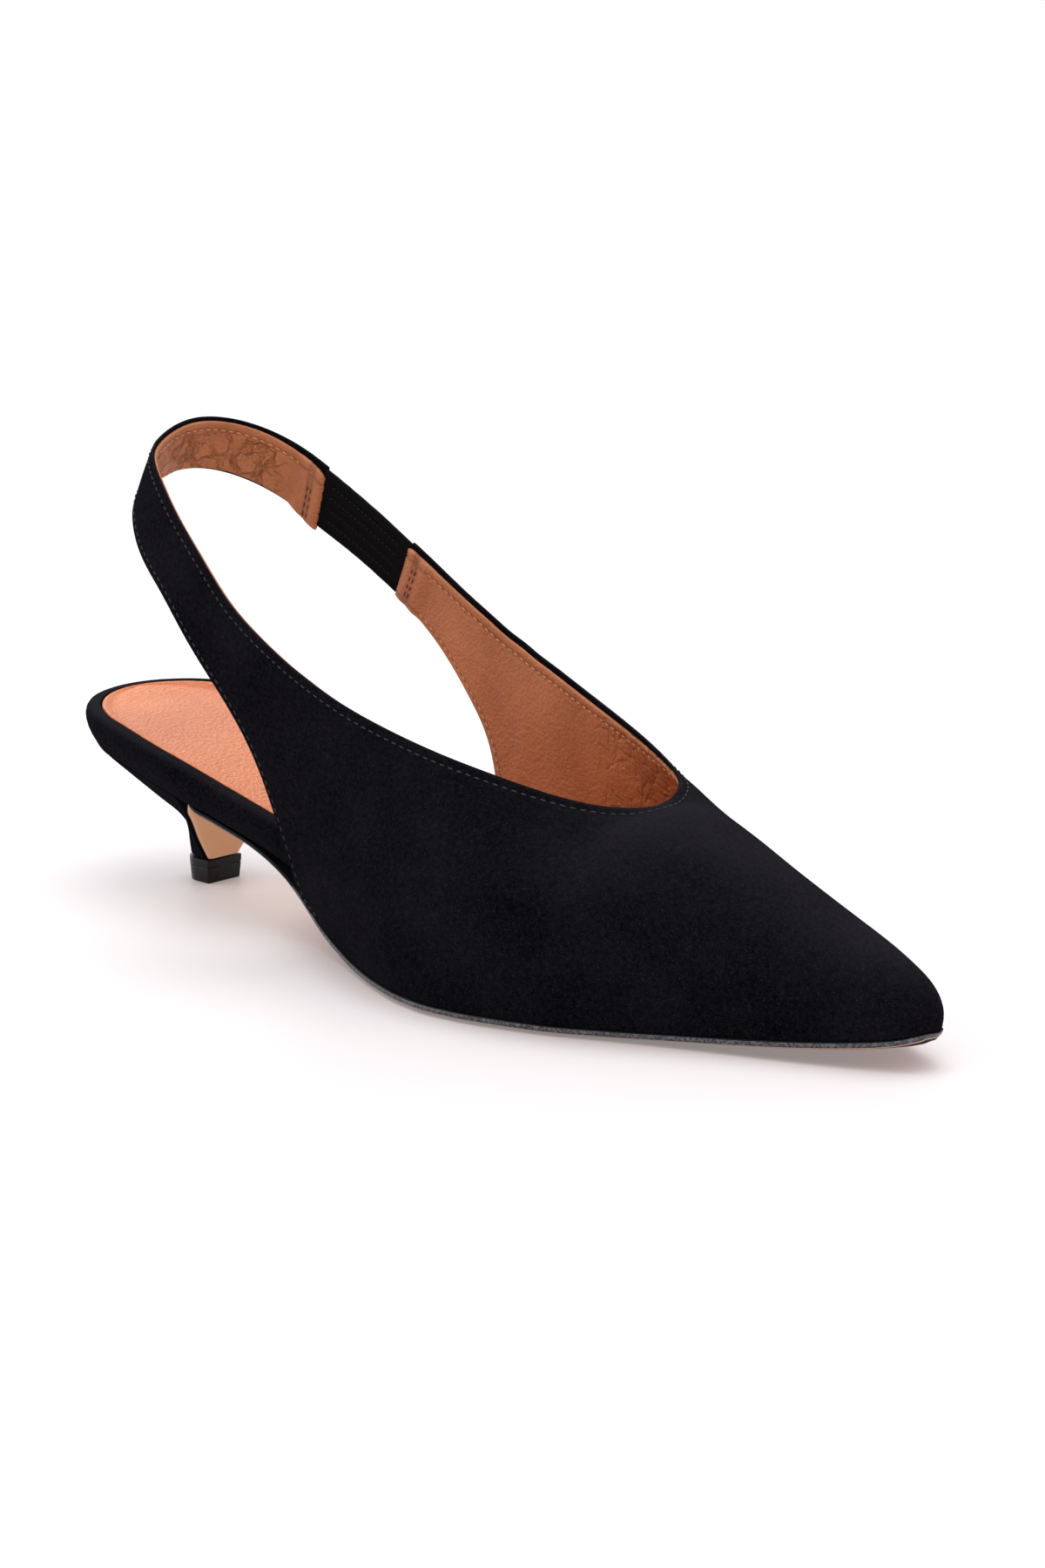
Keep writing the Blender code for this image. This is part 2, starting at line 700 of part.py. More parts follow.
def build_sock():
    # Dished sheet inside the platform's rim, cut straight where the toe hides it.
    edge = inset(platform_loop(PLATFORM_STEPS), PLATFORM_RIM + GAP)
    half = len(edge) // 2 + 1
    keep = [i for i in range(half) if edge[i][0] < SOCK_FRONT]
    left = edge[keep]
    right = np.array([edge[0]] + [edge[len(edge) - i] for i in keep[1:]])
    line = np.vstack([left, right[::-1][:-1]])
    top = sock_height(line[:, 0])
    body = Body()
    low = body.add(lift(line, top - SOCK_EDGE))
    high = body.add(lift(line, top))
    n = len(left)
    body.band(low[:n], high[:n], False)
    body.band(low[n:] + low[:1], high[n:] + high[:1], False)
    low_right = [low[0]] + low[:n - 1:-1]
    for i in range(n - 1):
        body.faces.append((low_right[i], low_right[i + 1], low[i + 1], low[i]))
    grid = [high[:n]]
    for share in SOCK_SHARES[1:-1]:
        row = left * (1 - share) + right * share
        dish = SOCK_DISH * (1 - abs(2 * share - 1) ** 6) * ease(row[:, 0], SEAT_BACK + 4, SEAT_BACK + 16)
        grid.append(high[:1] + body.add(lift(row, sock_height(row[:, 0]) - dish)[1:]))
    grid.append(high[:1] + high[:n - 1:-1])
    for a, b in zip(grid[:-1], grid[1:]):
        for i in range(n - 1):
            body.faces.append((a[i], a[i + 1], b[i + 1], b[i]))
    front = [low[n]] + [row[n - 1] for row in grid[::-1]]
    for a, b in zip(front[:-1], front[1:]):
        body.faces.append((low[n - 1], a, b))
    return body.make("sock", TAN, 0.6)


def sole_path():
    # One strip: toe, tread, shank, then down the heel's breast as a flap.
    path = []
    for x in stations(LAST_LENGTH + SOLE_LEDGE, 60.0, SOLE_STEPS):
        thick = SHANK_THICK + (SOLE_THICK - SHANK_THICK) * float(ease(x, 70, 120))
        top = float(underside(x)) - GAP
        path.append((x, top - thick, x, top, sole_half(x, -1), sole_half(x, 1)))
    for low, low_drop, high, high_drop, lateral, medial in SOLE_TURN:
        top = float(underside(high)) - GAP
        path.append((low, top - SHANK_THICK - low_drop, high, top - high_drop, lateral, medial))
    for back, back_up, breast, breast_up, half, _, _ in HEEL:
        path.append((breast, breast_up, breast - FLAP_THICK, breast_up, half, half))
    return path


def build_outsole():
    body = Body()
    rings = []
    for x, z, x_in, z_in, lateral, medial in sole_path():
        bevel = min(SOLE_BEVEL, lateral * 0.3)
        middle = ((x + x_in) / 2, (z + z_in) / 2)
        side = [
            (x_in, z_in, 1.0, bevel * 0.3),
            (*middle, 1.0, 0.0),
            (x, z, 1.0, bevel),
            (x, z, 0.5, 0.0),
        ]
        ring = [(px, -max(lateral * share - cut, 0), pz) for px, pz, share, cut in side]
        ring += [(px, max(medial * share - cut, 0), pz) for px, pz, share, cut in side[::-1]]
        ring += [(x_in, medial * 0.5, z_in), (x_in, -lateral * 0.5, z_in)]
        rings.append(body.add(ring))
    for a, b in zip(rings[:-1], rings[1:]):
        body.band(b, a)
    last = rings[-1]
    body.faces.append((last[9], last[3], last[2], last[1], last[0]))
    body.faces.append((last[8], last[4], last[3], last[9]))
    body.faces.append((last[7], last[6], last[5], last[4], last[8]))
    return body.make("outsole", SOLE_TAN, 0.55)


def sole_half(x, side):
    # Sole edge: tucked in below the waist, a narrow ledge round the forefoot.
    grow = SOLE_LEDGE + (PLATFORM_TUCK * 0.85 + SOLE_LEDGE) * (float(ease(x, 70, 112)) - 1)
    shrink = (LAST_LENGTH + SOLE_LEDGE - SEAT_BACK) / (LAST_LENGTH - SEAT_BACK)
    inner = SEAT_BACK + (x - SEAT_BACK) / shrink
    w = half_width(inner, side)
    toe = min(w / 6.0, 1.0)
    return max(w + grow * toe, 0.0)


def heel_level(row, count):
    # Half of one level of the heel block, from its back round to its breast.
    back, back_up, breast, breast_up, half, back_full, side_full = row
    breast = breast - FLAP_THICK - GAP
    turn = breast - (breast - back) * 0.35
    points = []
    for s in np.linspace(0, 1, count):
        r = 1 - s
        x = r ** 3 * back + 3 * r * r * s * back + 3 * r * s * s * turn + s ** 3 * breast
        y = 3 * r * r * s * half * back_full + 3 * r * s * s * half * side_full + s ** 3 * half
        z = back_up + (breast_up - back_up) * (x - back) / (breast - back)
        points.append((x, y, z))
    return points


def build_heel():
    # Top level follows the platform's tucked edge, the rest follow the table.
    count = HEEL_STEPS
    seat = inset(platform_loop(121), PLATFORM_TUCK)
    half = len(seat) // 2 + 1
    sides = {-1: seat[:half], 1: np.vstack([seat[:1], seat[:half - 2:-1]])}
    back, front = seat[0][0], HEEL_FRONT
    levels = []
    top = {-1: [], 1: []}
    for a in np.linspace(0, 1, count):
        x = back + (front - back) * (1 - math.cos(a * math.pi / 2))
        for side in (-1, 1):
            y = float(np.interp(x, sides[side][:, 0], sides[side][:, 1]))
            top[side].append((x, y if a > 0 else 0.0, float(underside(x)) - GAP))
    levels.append(top)
    for row in HEEL:
        level = heel_level(row, count)
        levels.append({side: [(x, side * y, z) for x, y, z in level] for side in (-1, 1)})
    body = Body()
    rings = []
    for level in levels:
        rings.append(body.add(level[-1] + level[1][:0:-1]))
    for a, b in zip(rings[:-1], rings[1:]):
        body.band(b, a)
    first, last = rings[0], rings[-1]
    for ring, flip in ((first, False), (last, True)):
        for i in range(1, count):
            a = ring[i - 1]
            b = ring[i]
            c = ring[len(ring) - i]
            d = ring[len(ring) - i + 1] if i > 1 else ring[0]
            face = (a, b, c, d) if i > 1 else (a, b, c)
            body.faces.append(face[::-1] if flip else face)
    return body.make("heel", SUEDE, 0.95)


def build_tip():
    # Top piece: flat front, round back, slightly smaller at the floor.
    front = HEEL_AXIS + TIP_LENGTH / 2
    body = Body()
    rings = []
    for z, taper in ((0.0, TIP_TAPER), (TIP_BEVEL, TIP_TAPER * 0.5), (TIP_HEIGHT, 0.0)):
        half = TIP_WIDTH / 2 - taper
        x_front = front - taper
        x_back = front - TIP_LENGTH + taper
        line = [(x_front, -half, z)]
        for a in np.linspace(0, math.pi, TIP_STEPS):
            line.append((x_back + half - half * math.sin(a), -half * math.cos(a), z))
        line.append((x_front, half, z))
        rings.append(body.add(line))
    for a, b in zip(rings[:-1], rings[1:]):
        body.band(b, a)
    body.faces.append(tuple(rings[0]))
    body.faces.append(tuple(rings[-1][::-1]))
    return body.make("top_piece", BLACK_RUBBER, 0.45)


for item in list(bpy.data.objects):
    bpy.data.objects.remove(item, do_unlink=True)

build_outsole()
build_platform()
build_sock()
build_heel()
build_tip()
build_upper()
build_gore()
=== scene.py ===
import math

import bpy
import numpy as np
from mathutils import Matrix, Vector
from mathutils import noise as noiseLib
from mathutils.bvhtree import BVHTree


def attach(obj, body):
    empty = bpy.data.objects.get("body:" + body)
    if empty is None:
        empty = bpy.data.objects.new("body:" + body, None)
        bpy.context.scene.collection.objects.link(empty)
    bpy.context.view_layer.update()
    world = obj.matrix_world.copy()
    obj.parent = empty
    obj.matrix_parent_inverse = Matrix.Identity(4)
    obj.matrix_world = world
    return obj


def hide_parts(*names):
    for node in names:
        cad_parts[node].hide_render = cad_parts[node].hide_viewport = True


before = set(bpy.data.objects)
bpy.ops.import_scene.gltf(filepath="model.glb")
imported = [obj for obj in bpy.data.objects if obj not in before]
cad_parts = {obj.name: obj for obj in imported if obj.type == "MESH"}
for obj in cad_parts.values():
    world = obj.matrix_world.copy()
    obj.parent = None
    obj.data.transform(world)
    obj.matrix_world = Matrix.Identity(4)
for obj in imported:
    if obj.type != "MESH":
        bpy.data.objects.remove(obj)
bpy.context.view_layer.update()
print("stage: frame loaded")

mm = 0.001

# The last and the shoe, in millimetres, the same sizes as the solids.
last = {
    "length": 265.0,
    "ballWidth": 78.8,
    "seatHeight": 48.1,
    "throatHeight": 46.6,
    "strapHeight": 120.6,
    "seatRadius": 29.5,
    "seatBack": -4.0,
    "heelAxis": 28.8,
    "seatUnder": 34.4,  # rise of the underside from the tread to the seat
    "tread": 2.6,  # height of the underside over the tread
    "tipHeight": 6.4,
    "gap": 0.3,
}


def scaled(rows, *sizes):
    return [tuple(share * size for share, size in zip(row, sizes)) for row in rows]


# Feather line: station, lateral half width, medial half width.
outline = scaled([
    (0.1509, 0.3832, 0.3591), (0.2075, 0.3731, 0.3401), (0.2642, 0.3629, 0.3198), (0.3208, 0.3591, 0.3046),
    (0.3623, 0.3744, 0.3020), (0.3925, 0.3959, 0.3122), (0.4226, 0.4213, 0.3249), (0.4566, 0.4645, 0.3426),
    (0.5057, 0.5330, 0.3706), (0.5509, 0.5812, 0.3934), (0.5849, 0.5964, 0.4036), (0.6226, 0.5838, 0.4010),
    (0.6566, 0.5546, 0.3883), (0.6981, 0.5089, 0.3629), (0.7453, 0.4340, 0.3249), (0.7925, 0.3604, 0.2817),
    (0.8491, 0.2817, 0.2272), (0.9019, 0.2094, 0.1713), (0.9472, 0.1396, 0.1180), (0.9736, 0.0939, 0.0787),
], last["length"], last["ballWidth"], last["ballWidth"])

# Sock edge: station, height.
sockEdge = scaled([
    (-0.0151, 1.0000), (0.0377, 0.9771), (0.0679, 0.9543), (0.0962, 0.9252), (0.1321, 0.8794),
    (0.1698, 0.8295), (0.2000, 0.7838), (0.2528, 0.7006), (0.3057, 0.6091), (0.3547, 0.5281),
    (0.4000, 0.4324), (0.4453, 0.3410), (0.4906, 0.2620), (0.5358, 0.2058), (0.5849, 0.1788),
    (0.6415, 0.1726), (0.7170, 0.1726), (0.8302, 0.1913), (0.9283, 0.2328), (0.9962, 0.2744),
], last["length"], last["seatHeight"])

# Platform underside: station, height above the tread.
under = scaled([
    (-0.0151, 1.0000), (0.0377, 0.9733), (0.0962, 0.9169), (0.1321, 0.8516), (0.1623, 0.7893),
    (0.1887, 0.7329), (0.2151, 0.6884), (0.2377, 0.6409), (0.2642, 0.5816), (0.2868, 0.5223),
    (0.3094, 0.4540), (0.3321, 0.3739), (0.3547, 0.2908), (0.3774, 0.2018), (0.4000, 0.1246),
    (0.4226, 0.0623), (0.4453, 0.0237), (0.4717, 0.0045), (0.4981, 0.0000), (0.7094, 0.0000),
    (0.7547, 0.0074), (0.8113, 0.0267), (0.8679, 0.0530), (0.9245, 0.0910), (0.9736, 0.1430),
    (0.9962, 0.1960),
], last["length"], last["seatUnder"])

# Elastic, strap and lateral wing: head station, out, up, foot station, out, up, head turn, foot turn.
strap = scaled([
    (0.2774, 0.4061, 0.7479, 0.2498, 0.4264, 0.6335, 3, 3),
    (0.2415, 0.3934, 0.7993, 0.2158, 0.4112, 0.6816, 3, 3),
    (0.2068, 0.3782, 0.8458, 0.1830, 0.3959, 0.7231, 3, 3),
    (0.1751, 0.3579, 0.8889, 0.1547, 0.3706, 0.7612, 3, 3),
    (0.1457, 0.3325, 0.9270, 0.1283, 0.3338, 0.8035, 3, 3),
    (0.1192, 0.2741, 0.9619, 0.1057, 0.2602, 0.8458, 3, 3),
    (0.1004, 0.1586, 0.9917, 0.0838, 0.1459, 0.8814, 3, 3),
    (0.0928, 0.0000, 1.0000, 0.0713, 0.0000, 0.8905, 3, 3),
    (0.1030, -0.1586, 0.9751, 0.0808, -0.1713, 0.8640, 3, 3),
    (0.1268, -0.2665, 0.9453, 0.1057, -0.2919, 0.8209, 3, 3),
    (0.1623, -0.3350, 0.9005, 0.1396, -0.3604, 0.7529, 3, 3),
    (0.1985, -0.3782, 0.8425, 0.1819, -0.4010, 0.6874, 3, 3),
    (0.2430, -0.4188, 0.7745, 0.2249, -0.4213, 0.5987, 3, 4),
    (0.2921, -0.4556, 0.6990, 0.2679, -0.4315, 0.5141, 3, 4),
    (0.3374, -0.4734, 0.6434, 0.3072, -0.4264, 0.4146, 3, 5),
    (0.3766, -0.4860, 0.6045, 0.3328, -0.4137, 0.3027, 3, 6),
    (0.4038, -0.4937, 0.5821, 0.3483, -0.3985, 0.1990, 3, 7),
    (0.4264, -0.4975, 0.5638, 0.3608, -0.3744, 0.1012, 3, 9),
], last["length"], last["ballWidth"], last["strapHeight"],
    last["length"], last["ballWidth"], last["strapHeight"], 1, 1)

# Sides to the throat: head station, out, up, foot station, head turn, foot turn.
sideLateral = scaled([
    (0.4264, -0.4975, 1.4592, 0.3608, 3, 9),
    (0.4604, -0.4924, 1.3906, 0.4038, 4, 14),
    (0.5094, -0.4746, 1.3090, 0.4604, 8, 19),
    (0.5660, -0.4429, 1.2275, 0.5245, 13, 25),
    (0.6113, -0.3959, 1.1631, 0.5811, 20, 30),
    (0.6491, -0.3401, 1.1030, 0.6264, 28, 32),
    (0.6792, -0.2792, 1.0579, 0.6679, 34, 34),
    (0.6981, -0.1904, 1.0215, 0.6981, 39, 39),
    (0.7075, -0.0508, 1.0000, 0.7208, 49, 47),
], last["length"], last["ballWidth"], last["throatHeight"], last["length"], 1, 1)
sideMedial = scaled([
    (0.4415, 0.4010, 1.4421, 0.4151, 3, 9),
    (0.4679, 0.3871, 1.3948, 0.4415, 5, 10),
    (0.5094, 0.3617, 1.3197, 0.4755, 9, 9),
    (0.5660, 0.3185, 1.2275, 0.5358, 16, 15),
    (0.6113, 0.2690, 1.1631, 0.5887, 23, 20),
    (0.6491, 0.2208, 1.1030, 0.6302, 30, 24),
    (0.6792, 0.1624, 1.0558, 0.6679, 46, 30),
    (0.6981, 0.0761, 1.0215, 0.6981, 52, 40),
    (0.7075, -0.0508, 1.0000, 0.7208, 51, 52),
], last["length"], last["ballWidth"], last["throatHeight"], last["length"], 1, 1)

# Medial wing up to the elastic, columns as for the strap, the last row only steers the curve.
wing = scaled([
    (0.4415, 0.4010, 0.5572, 0.4151, 0.3211, 0.0506, 3, 9),
    (0.4226, 0.4061, 0.5755, 0.4098, 0.3528, 0.1617, 3, 8),
    (0.4038, 0.4086, 0.5920, 0.4000, 0.3782, 0.2653, 3, 7),
    (0.3774, 0.4124, 0.6211, 0.3811, 0.4010, 0.3632, 3, 6),
    (0.3472, 0.4137, 0.6559, 0.3472, 0.4175, 0.4519, 3, 5),
    (0.3132, 0.4124, 0.6998, 0.3034, 0.4264, 0.5473, 3, 4),
    (0.2774, 0.4061, 0.7479, 0.2498, 0.4264, 0.6302, 3, 3),
    (0.2415, 0.3934, 0.7927, 0.2158, 0.4112, 0.6750, 3, 3),
], last["length"], last["ballWidth"], last["strapHeight"],
    last["length"], last["ballWidth"], last["strapHeight"], 1, 1)

# Vamp: crest station, out, up, lateral foot station, medial foot station, lateral and medial foot turn.
vamp = scaled([
    (0.7075, -0.0508, 1.0000, 0.7208, 0.7208, 47, 52),
    (0.7547, -0.0406, 0.9630, 0.7698, 0.7698, 46, 50),
    (0.8075, -0.0292, 0.8580, 0.8226, 0.8226, 41, 47),
    (0.8604, -0.0165, 0.7310, 0.8792, 0.8792, 34, 38),
    (0.9057, -0.0076, 0.6270, 0.9321, 0.9321, 33, 36),
    (0.9358, -0.0025, 0.5570, 0.9717, 0.9717, 43, 44),
    (0.9547, 0.0000, 0.5150, 1.0000, 1.0000, 56, 56),
], last["length"], last["ballWidth"], last["throatHeight"], last["length"], last["length"], 1, 1)

# Heel block: back station, up, breast station, up, half width, back fullness, side fullness.
# Both heights are shares of the way up from the top piece.
heelLow = last["tipHeight"] + last["gap"]
heelUp = last["seatHeight"] - heelLow
heelRows = scaled([
    (0.0283, 0.5628, 0.1698, 0.4227, 0.2716, 0.7, 1),
    (0.0566, 0.4179, 0.1592, 0.3454, 0.2284, 0.5, 0.84),
    (0.0755, 0.2923, 0.1468, 0.2488, 0.1764, 0.42, 0.7),
    (0.0845, 0.1885, 0.1377, 0.1619, 0.1358, 0.46, 0.72),
    (0.0875, 0.0918, 0.1325, 0.0797, 0.1015, 0.62, 0.86),
    (0.0883, 0.0049, 0.1298, 0.0024, 0.0736, 0.78, 1.04),
], last["length"], heelUp, last["length"], heelUp, last["ballWidth"], 1, 1)
heelRows = [(a, b + heelLow, c, d + heelLow, e, f, g) for a, b, c, d, e, f, g in heelRows]


def monotone(rows, column=1):
    # smooth curve through table rows that never overshoots them
    xs = np.array([row[0] for row in rows], float)
    ys = np.array([row[column] for row in rows], float)
    step = np.diff(xs)
    slope = np.diff(ys) / step
    tangent = np.zeros(len(xs))
    tangent[0], tangent[-1] = slope[0], slope[-1]
    for i in range(1, len(xs) - 1):
        if slope[i - 1] * slope[i] > 0:
            a = 2 * step[i] + step[i - 1]
            b = step[i] + 2 * step[i - 1]
            tangent[i] = (a + b) / (a / slope[i - 1] + b / slope[i])

    def value(x):
        x = np.clip(x, xs[0], xs[-1])
        i = np.clip(np.searchsorted(xs, x) - 1, 0, len(step) - 1)
        h = step[i]
        s = (x - xs[i]) / h
        return ((1 + 2 * s) * (1 - s) ** 2 * ys[i] + s * (1 - s) ** 2 * h * tangent[i]
                + s * s * (3 - 2 * s) * ys[i + 1] + s * s * (s - 1) * h * tangent[i + 1])

    return value


def flowing(rows):
    # natural cubic spline through table rows, counted 0, 1, 2 along the table
    data = np.array(rows, float)
    n = len(data)
    matrix = np.eye(n)
    right = np.zeros_like(data)
    for i in range(1, n - 1):
        matrix[i, i - 1:i + 2] = (1, 4, 1)
        right[i] = 6 * (data[i - 1] - 2 * data[i] + data[i + 1])
    bend = np.linalg.solve(matrix, right)

    def value(q):
        i = int(min(max(math.floor(q), 0), n - 2))
        s = q - i
        r = 1 - s
        return (r * data[i] + s * data[i + 1]
                + (r ** 3 - r) * bend[i] / 6 + (s ** 3 - s) * bend[i + 1] / 6)

    return value


def ease(x, start, end):
    s = np.clip((x - start) / (end - start), 0, 1)
    return s * s * (3 - 2 * s)


def unit(v):
    v = np.asarray(v, float)
    return v / max(np.linalg.norm(v), 1e-9)


def runAlong(points):
    # distance walked along a line, up to each of its points
    return np.concatenate([[0], np.cumsum(np.linalg.norm(np.diff(points, axis=0), axis=1))])


def pointAt(distance, run, points):
    return np.array([np.interp(distance, run, points[:, k]) for k in range(3)])


def outlineRows():
    # squared widths, so that the seat and the toe close as round curves
    rows = []
    for degrees in (0, 20, 40, 60, 80):
        a = math.radians(degrees)
        w = last["seatRadius"] * math.sin(a)
        rows.append((last["seatBack"] + last["seatRadius"] * (1 - math.cos(a)), w, w))
    rows += outline
    rows.append((last["length"], 0.0, 0.0))
    return [(x, a * a, b * b) for x, a, b in rows]


lateralCurve = monotone(outlineRows(), 1)
medialCurve = monotone(outlineRows(), 2)
sockHeight = monotone(sockEdge)
underRise = monotone(under)


def underside(x):
    return last["tread"] + underRise(x)


def halfWidth(x, side):
    return math.sqrt(max(float((lateralCurve if side < 0 else medialCurve)(x)), 0.0))


def stations(start, end, count):
    return start + (end - start) * (0.5 - 0.5 * np.cos(np.linspace(0, np.pi, count)))


def loop(start, end, count, width):
    xs = stations(start, end, count)
    lateral = [(x, -width(x, -1)) for x in xs]
    medial = [(x, width(x, 1)) for x in xs]
    return np.array(lateral + medial[-2:0:-1])


def inset(points, distance):
    run = np.roll(points, -1, axis=0) - np.roll(points, 1, axis=0)
    run /= np.linalg.norm(run, axis=1)[:, None]
    inward = np.stack([-run[:, 1], run[:, 0]], axis=1)
    distance = np.broadcast_to(np.asarray(distance, float), (len(points),))
    return points + inward * distance[:, None]


# Columns of the upper, one rib each.
ribLook = {
    "points": 9,
    "featherStart": 80.0,  # the upper's foot follows the feather line from here to the toe
    "middle": (60.0, 0.0),  # a point inside the shoe, ribs bow away from it
    "bow": 0.24,
    "throatSlope": -0.16,
    "throatFull": 0.36,
    "fairShares": (0.3, 0.5, 0.5, 0.45, 0.38, 0.22, 0.08),
    "fairReach": (6.4, 16),
    "fairPasses": 20,
}
columnSteps = {"strap": 58, "side": 22, "vamp": 24, "wing": 18}


def crestArrival(foot, head, slope):
    run = unit((head - foot)[:2])
    return unit((run[0], run[1], slope * run[0]))


def rib(foot, head, outward, footTurn, headTurn, arrive=None, share=1.0, full=1.0):
    # one cubic from the foot to the head, bowed outwards at both ends
    foot, head = np.asarray(foot, float), np.asarray(head, float)
    chord = head - foot
    size = np.linalg.norm(chord)
    along = chord / size
    out = np.array([outward[0], outward[1], 0.0])
    out = unit(out - along * (out @ along))

    def handle(turn):
        part = 1 / 3 + ribLook["bow"] * min(abs(turn) / 45, 1)
        return full * size * part * max(math.cos(math.radians(turn)), 0.3)

    a = math.radians(footTurn)
    leave = along * math.cos(a) + out * math.sin(a)
    b = math.radians(headTurn)
    turned = along * math.cos(b) - out * math.sin(b)
    if arrive is None:
        arrive = turned
    else:
        arrive = unit(turned * (1 - share) + arrive * share)
        headTurn = math.degrees(math.acos(np.clip(arrive @ along, -1, 1)))
    p1 = foot + leave * handle(footTurn)
    p2 = head - arrive * handle(headTurn)
    rows = []
    for s in np.linspace(0, 1, ribLook["points"]):
        r = 1 - s
        rows.append(r ** 3 * foot + 3 * r * r * s * p1 + 3 * r * s * s * p2 + s ** 3 * head)
    return rows


def featherWalk(side):
    xs = stations(ribLook["featherStart"], last["length"], 400)
    pts = np.array([[x, side * halfWidth(x, side), float(underside(x))] for x in xs])
    run = runAlong(pts)
    return xs, pts, run


walks = {-1: featherWalk(-1), 1: featherWalk(1)}


def featherAt(distance, side):
    xs, pts, run = walks[side]
    near = [pointAt(min(distance + d, run[-1]), run, pts) for d in (-1.5, 0, 1.5)]
    t = unit((near[2] - near[0])[:2])
    outward = np.array([t[1], -t[0]]) * (-side)
    if distance >= run[-1] - 0.01:
        outward = np.array([1.0, 0.0])
    return near[1], outward


def featherDistance(x, side):
    xs, pts, run = walks[side]
    return float(np.interp(x, xs, run))


def edgeColumns(table, first, end, count, sink=0.0):
    at = flowing(table)
    columns = []
    for q in np.linspace(first, end, count):
        row = at(q)
        before, after = at(max(q - 0.1, 0)), at(min(q + 0.1, len(table) - 1))
        t = unit((after - before)[:2] + (after - before)[3:5] * 0.5)
        outward = np.array([t[1], -t[0]])
        if outward @ (row[:2] - ribLook["middle"]) < 0:
            outward = -outward
        inward = np.append(outward, 0) * sink
        columns.append(rib(row[3:6] - inward, row[:3] - inward, outward, row[7], row[6]))
    return columns


def sideColumns(table, side, steps):
    other = sideMedial if side < 0 else sideLateral
    ghost = [row[:3] for row in other[-2:-4:-1]]
    lead = [row[:3] for row in (strap[-3:-1] if side < 0 else wing[2:0:-1])]
    heads = flowing(lead + [row[:3] for row in table] + ghost)
    feet = [featherDistance(row[3], side) for row in table]
    walk = monotone(list(zip(range(len(feet)), feet)))
    turns = flowing([row[4:6] for row in table])
    columns = []
    for q in np.linspace(0, len(table) - 1, steps):
        head = heads(q + 2)
        foot, outward = featherAt(float(walk(q)), side)
        headTurn, footTurn = turns(q)
        blend = ease(q, 0, 4)
        outward = unit(outward * blend + np.array([0.0, float(side)]) * (1 - blend))
        arrive = crestArrival(foot, head, ribLook["throatSlope"])
        full = 1 + ribLook["throatFull"] * ease(q, 5, 8)
        columns.append(rib(foot, head, outward, footTurn, headTurn, arrive, ease(q, 7, 8), full))
    return columns


def vampColumns(side, steps):
    crest = flowing([row[:3] for row in vamp])
    feet = [featherDistance(row[3 if side < 0 else 4], side) for row in vamp]
    walk = monotone(list(zip(range(len(feet)), feet)))
    turns = flowing([(row[5 if side < 0 else 6],) for row in vamp])
    columns = []
    for q in np.linspace(0, len(vamp) - 1, steps):
        head = crest(q)
        rise = crest(min(q + 0.05, len(vamp) - 1)) - crest(max(q - 0.05, 0))
        foot, outward = featherAt(float(walk(q)), side)
        arrive = crestArrival(foot, head, rise[2] / rise[0])
        full = 1 + ribLook["throatFull"] * (1 - ease(q, 0.3, 2.0))
        columns.append(rib(foot, head, outward, float(turns(q)[0]), 0, arrive, 1.0, full))
    return columns


def faired(columns, centers):
    # evens out the ribs round both ends of the throat
    grid = np.array(columns)
    order = np.arange(len(grid))
    share = np.zeros(len(grid))
    for center in centers:
        share = np.maximum(share, 1 - ease(np.abs(order - center), *ribLook["fairReach"]))
    pull = share[1:-1, None, None] * np.array(ribLook["fairShares"])[None, :, None]
    for _ in range(ribLook["fairPasses"]):
        middle = (grid[:-2] + grid[2:]) / 2
        grid[1:-1, 1:-1] += pull * (middle - grid[1:-1])[:, 1:-1]
    return [list(line) for line in grid]


def upperColumns():
    # columns with how much of a free edge their head and their foot are
    steps = columnSteps
    a = edgeColumns(strap, 3.02, len(strap) - 1, steps["strap"])
    b = sideColumns(sideLateral, -1, steps["side"])[1:] + vampColumns(-1, steps["vamp"])[1:]
    c = sideColumns(sideMedial, 1, steps["side"]) + vampColumns(1, steps["vamp"])[1:-1]
    d = edgeColumns(wing, 0, len(wing) - 2.02, steps["wing"])[1:]
    first = len(a) + steps["side"] - 2
    second = len(a) + len(b) + steps["vamp"] - 2
    grid = faired(a + b + c[::-1] + d, (first, second))
    order = np.arange(len(grid))
    headEdge = np.where(order <= first, 1 - ease(order, first - 5, first), 0.0)
    headEdge = np.maximum(headEdge, np.where(order >= second, ease(order, second, second + 5), 0.0))
    wingFoot = len(a + b + c)
    footEdge = np.maximum(1 - ease(order, len(a) - 4, len(a) + 1), ease(order, wingFoot - 1, wingFoot + 3))
    return grid, headEdge, footEdge, first, second


# meshes: an open sheet is refined first, then given its wall and rounded edges
meshLook = {
    "refine": 2,
    "edgeRound": 0.7,
    "samePoint": 0.02,
    "corner": 0.002,
    "weld": 0.004,
    "rows": 13,
    "headRows": (4.6, 3.4, 2.2, 0.0),  # distances of the last rows from a free head edge
    "footRows": (0, 1.1, 2.2, 3.4),
}


def respaced(column, top, bottom, headEdge, footEdge):
    # the same rib with its points gathered near free edges, and both ends cut back
    at = flowing(column)
    fine = np.array([at(q) for q in np.linspace(0, len(column) - 1, 97)])
    run = runAlong(fine)
    size = run[-1] - top - bottom
    even = np.linspace(0, 1, meshLook["rows"])
    foot, head = np.array(meshLook["footRows"]) / size, 1 - np.array(meshLook["headRows"]) / size
    between = np.linspace(foot[-1], head[0], meshLook["rows"] - len(foot) - len(head) + 2)
    dense = np.concatenate([foot, between[1:-1], head])
    low = even * (1 - footEdge) + dense * footEdge
    high = even * (1 - headEdge) + dense * headEdge
    share = low * (1 - even) + high * even
    where = bottom + share * size
    return [pointAt(w, run, fine) for w in where]


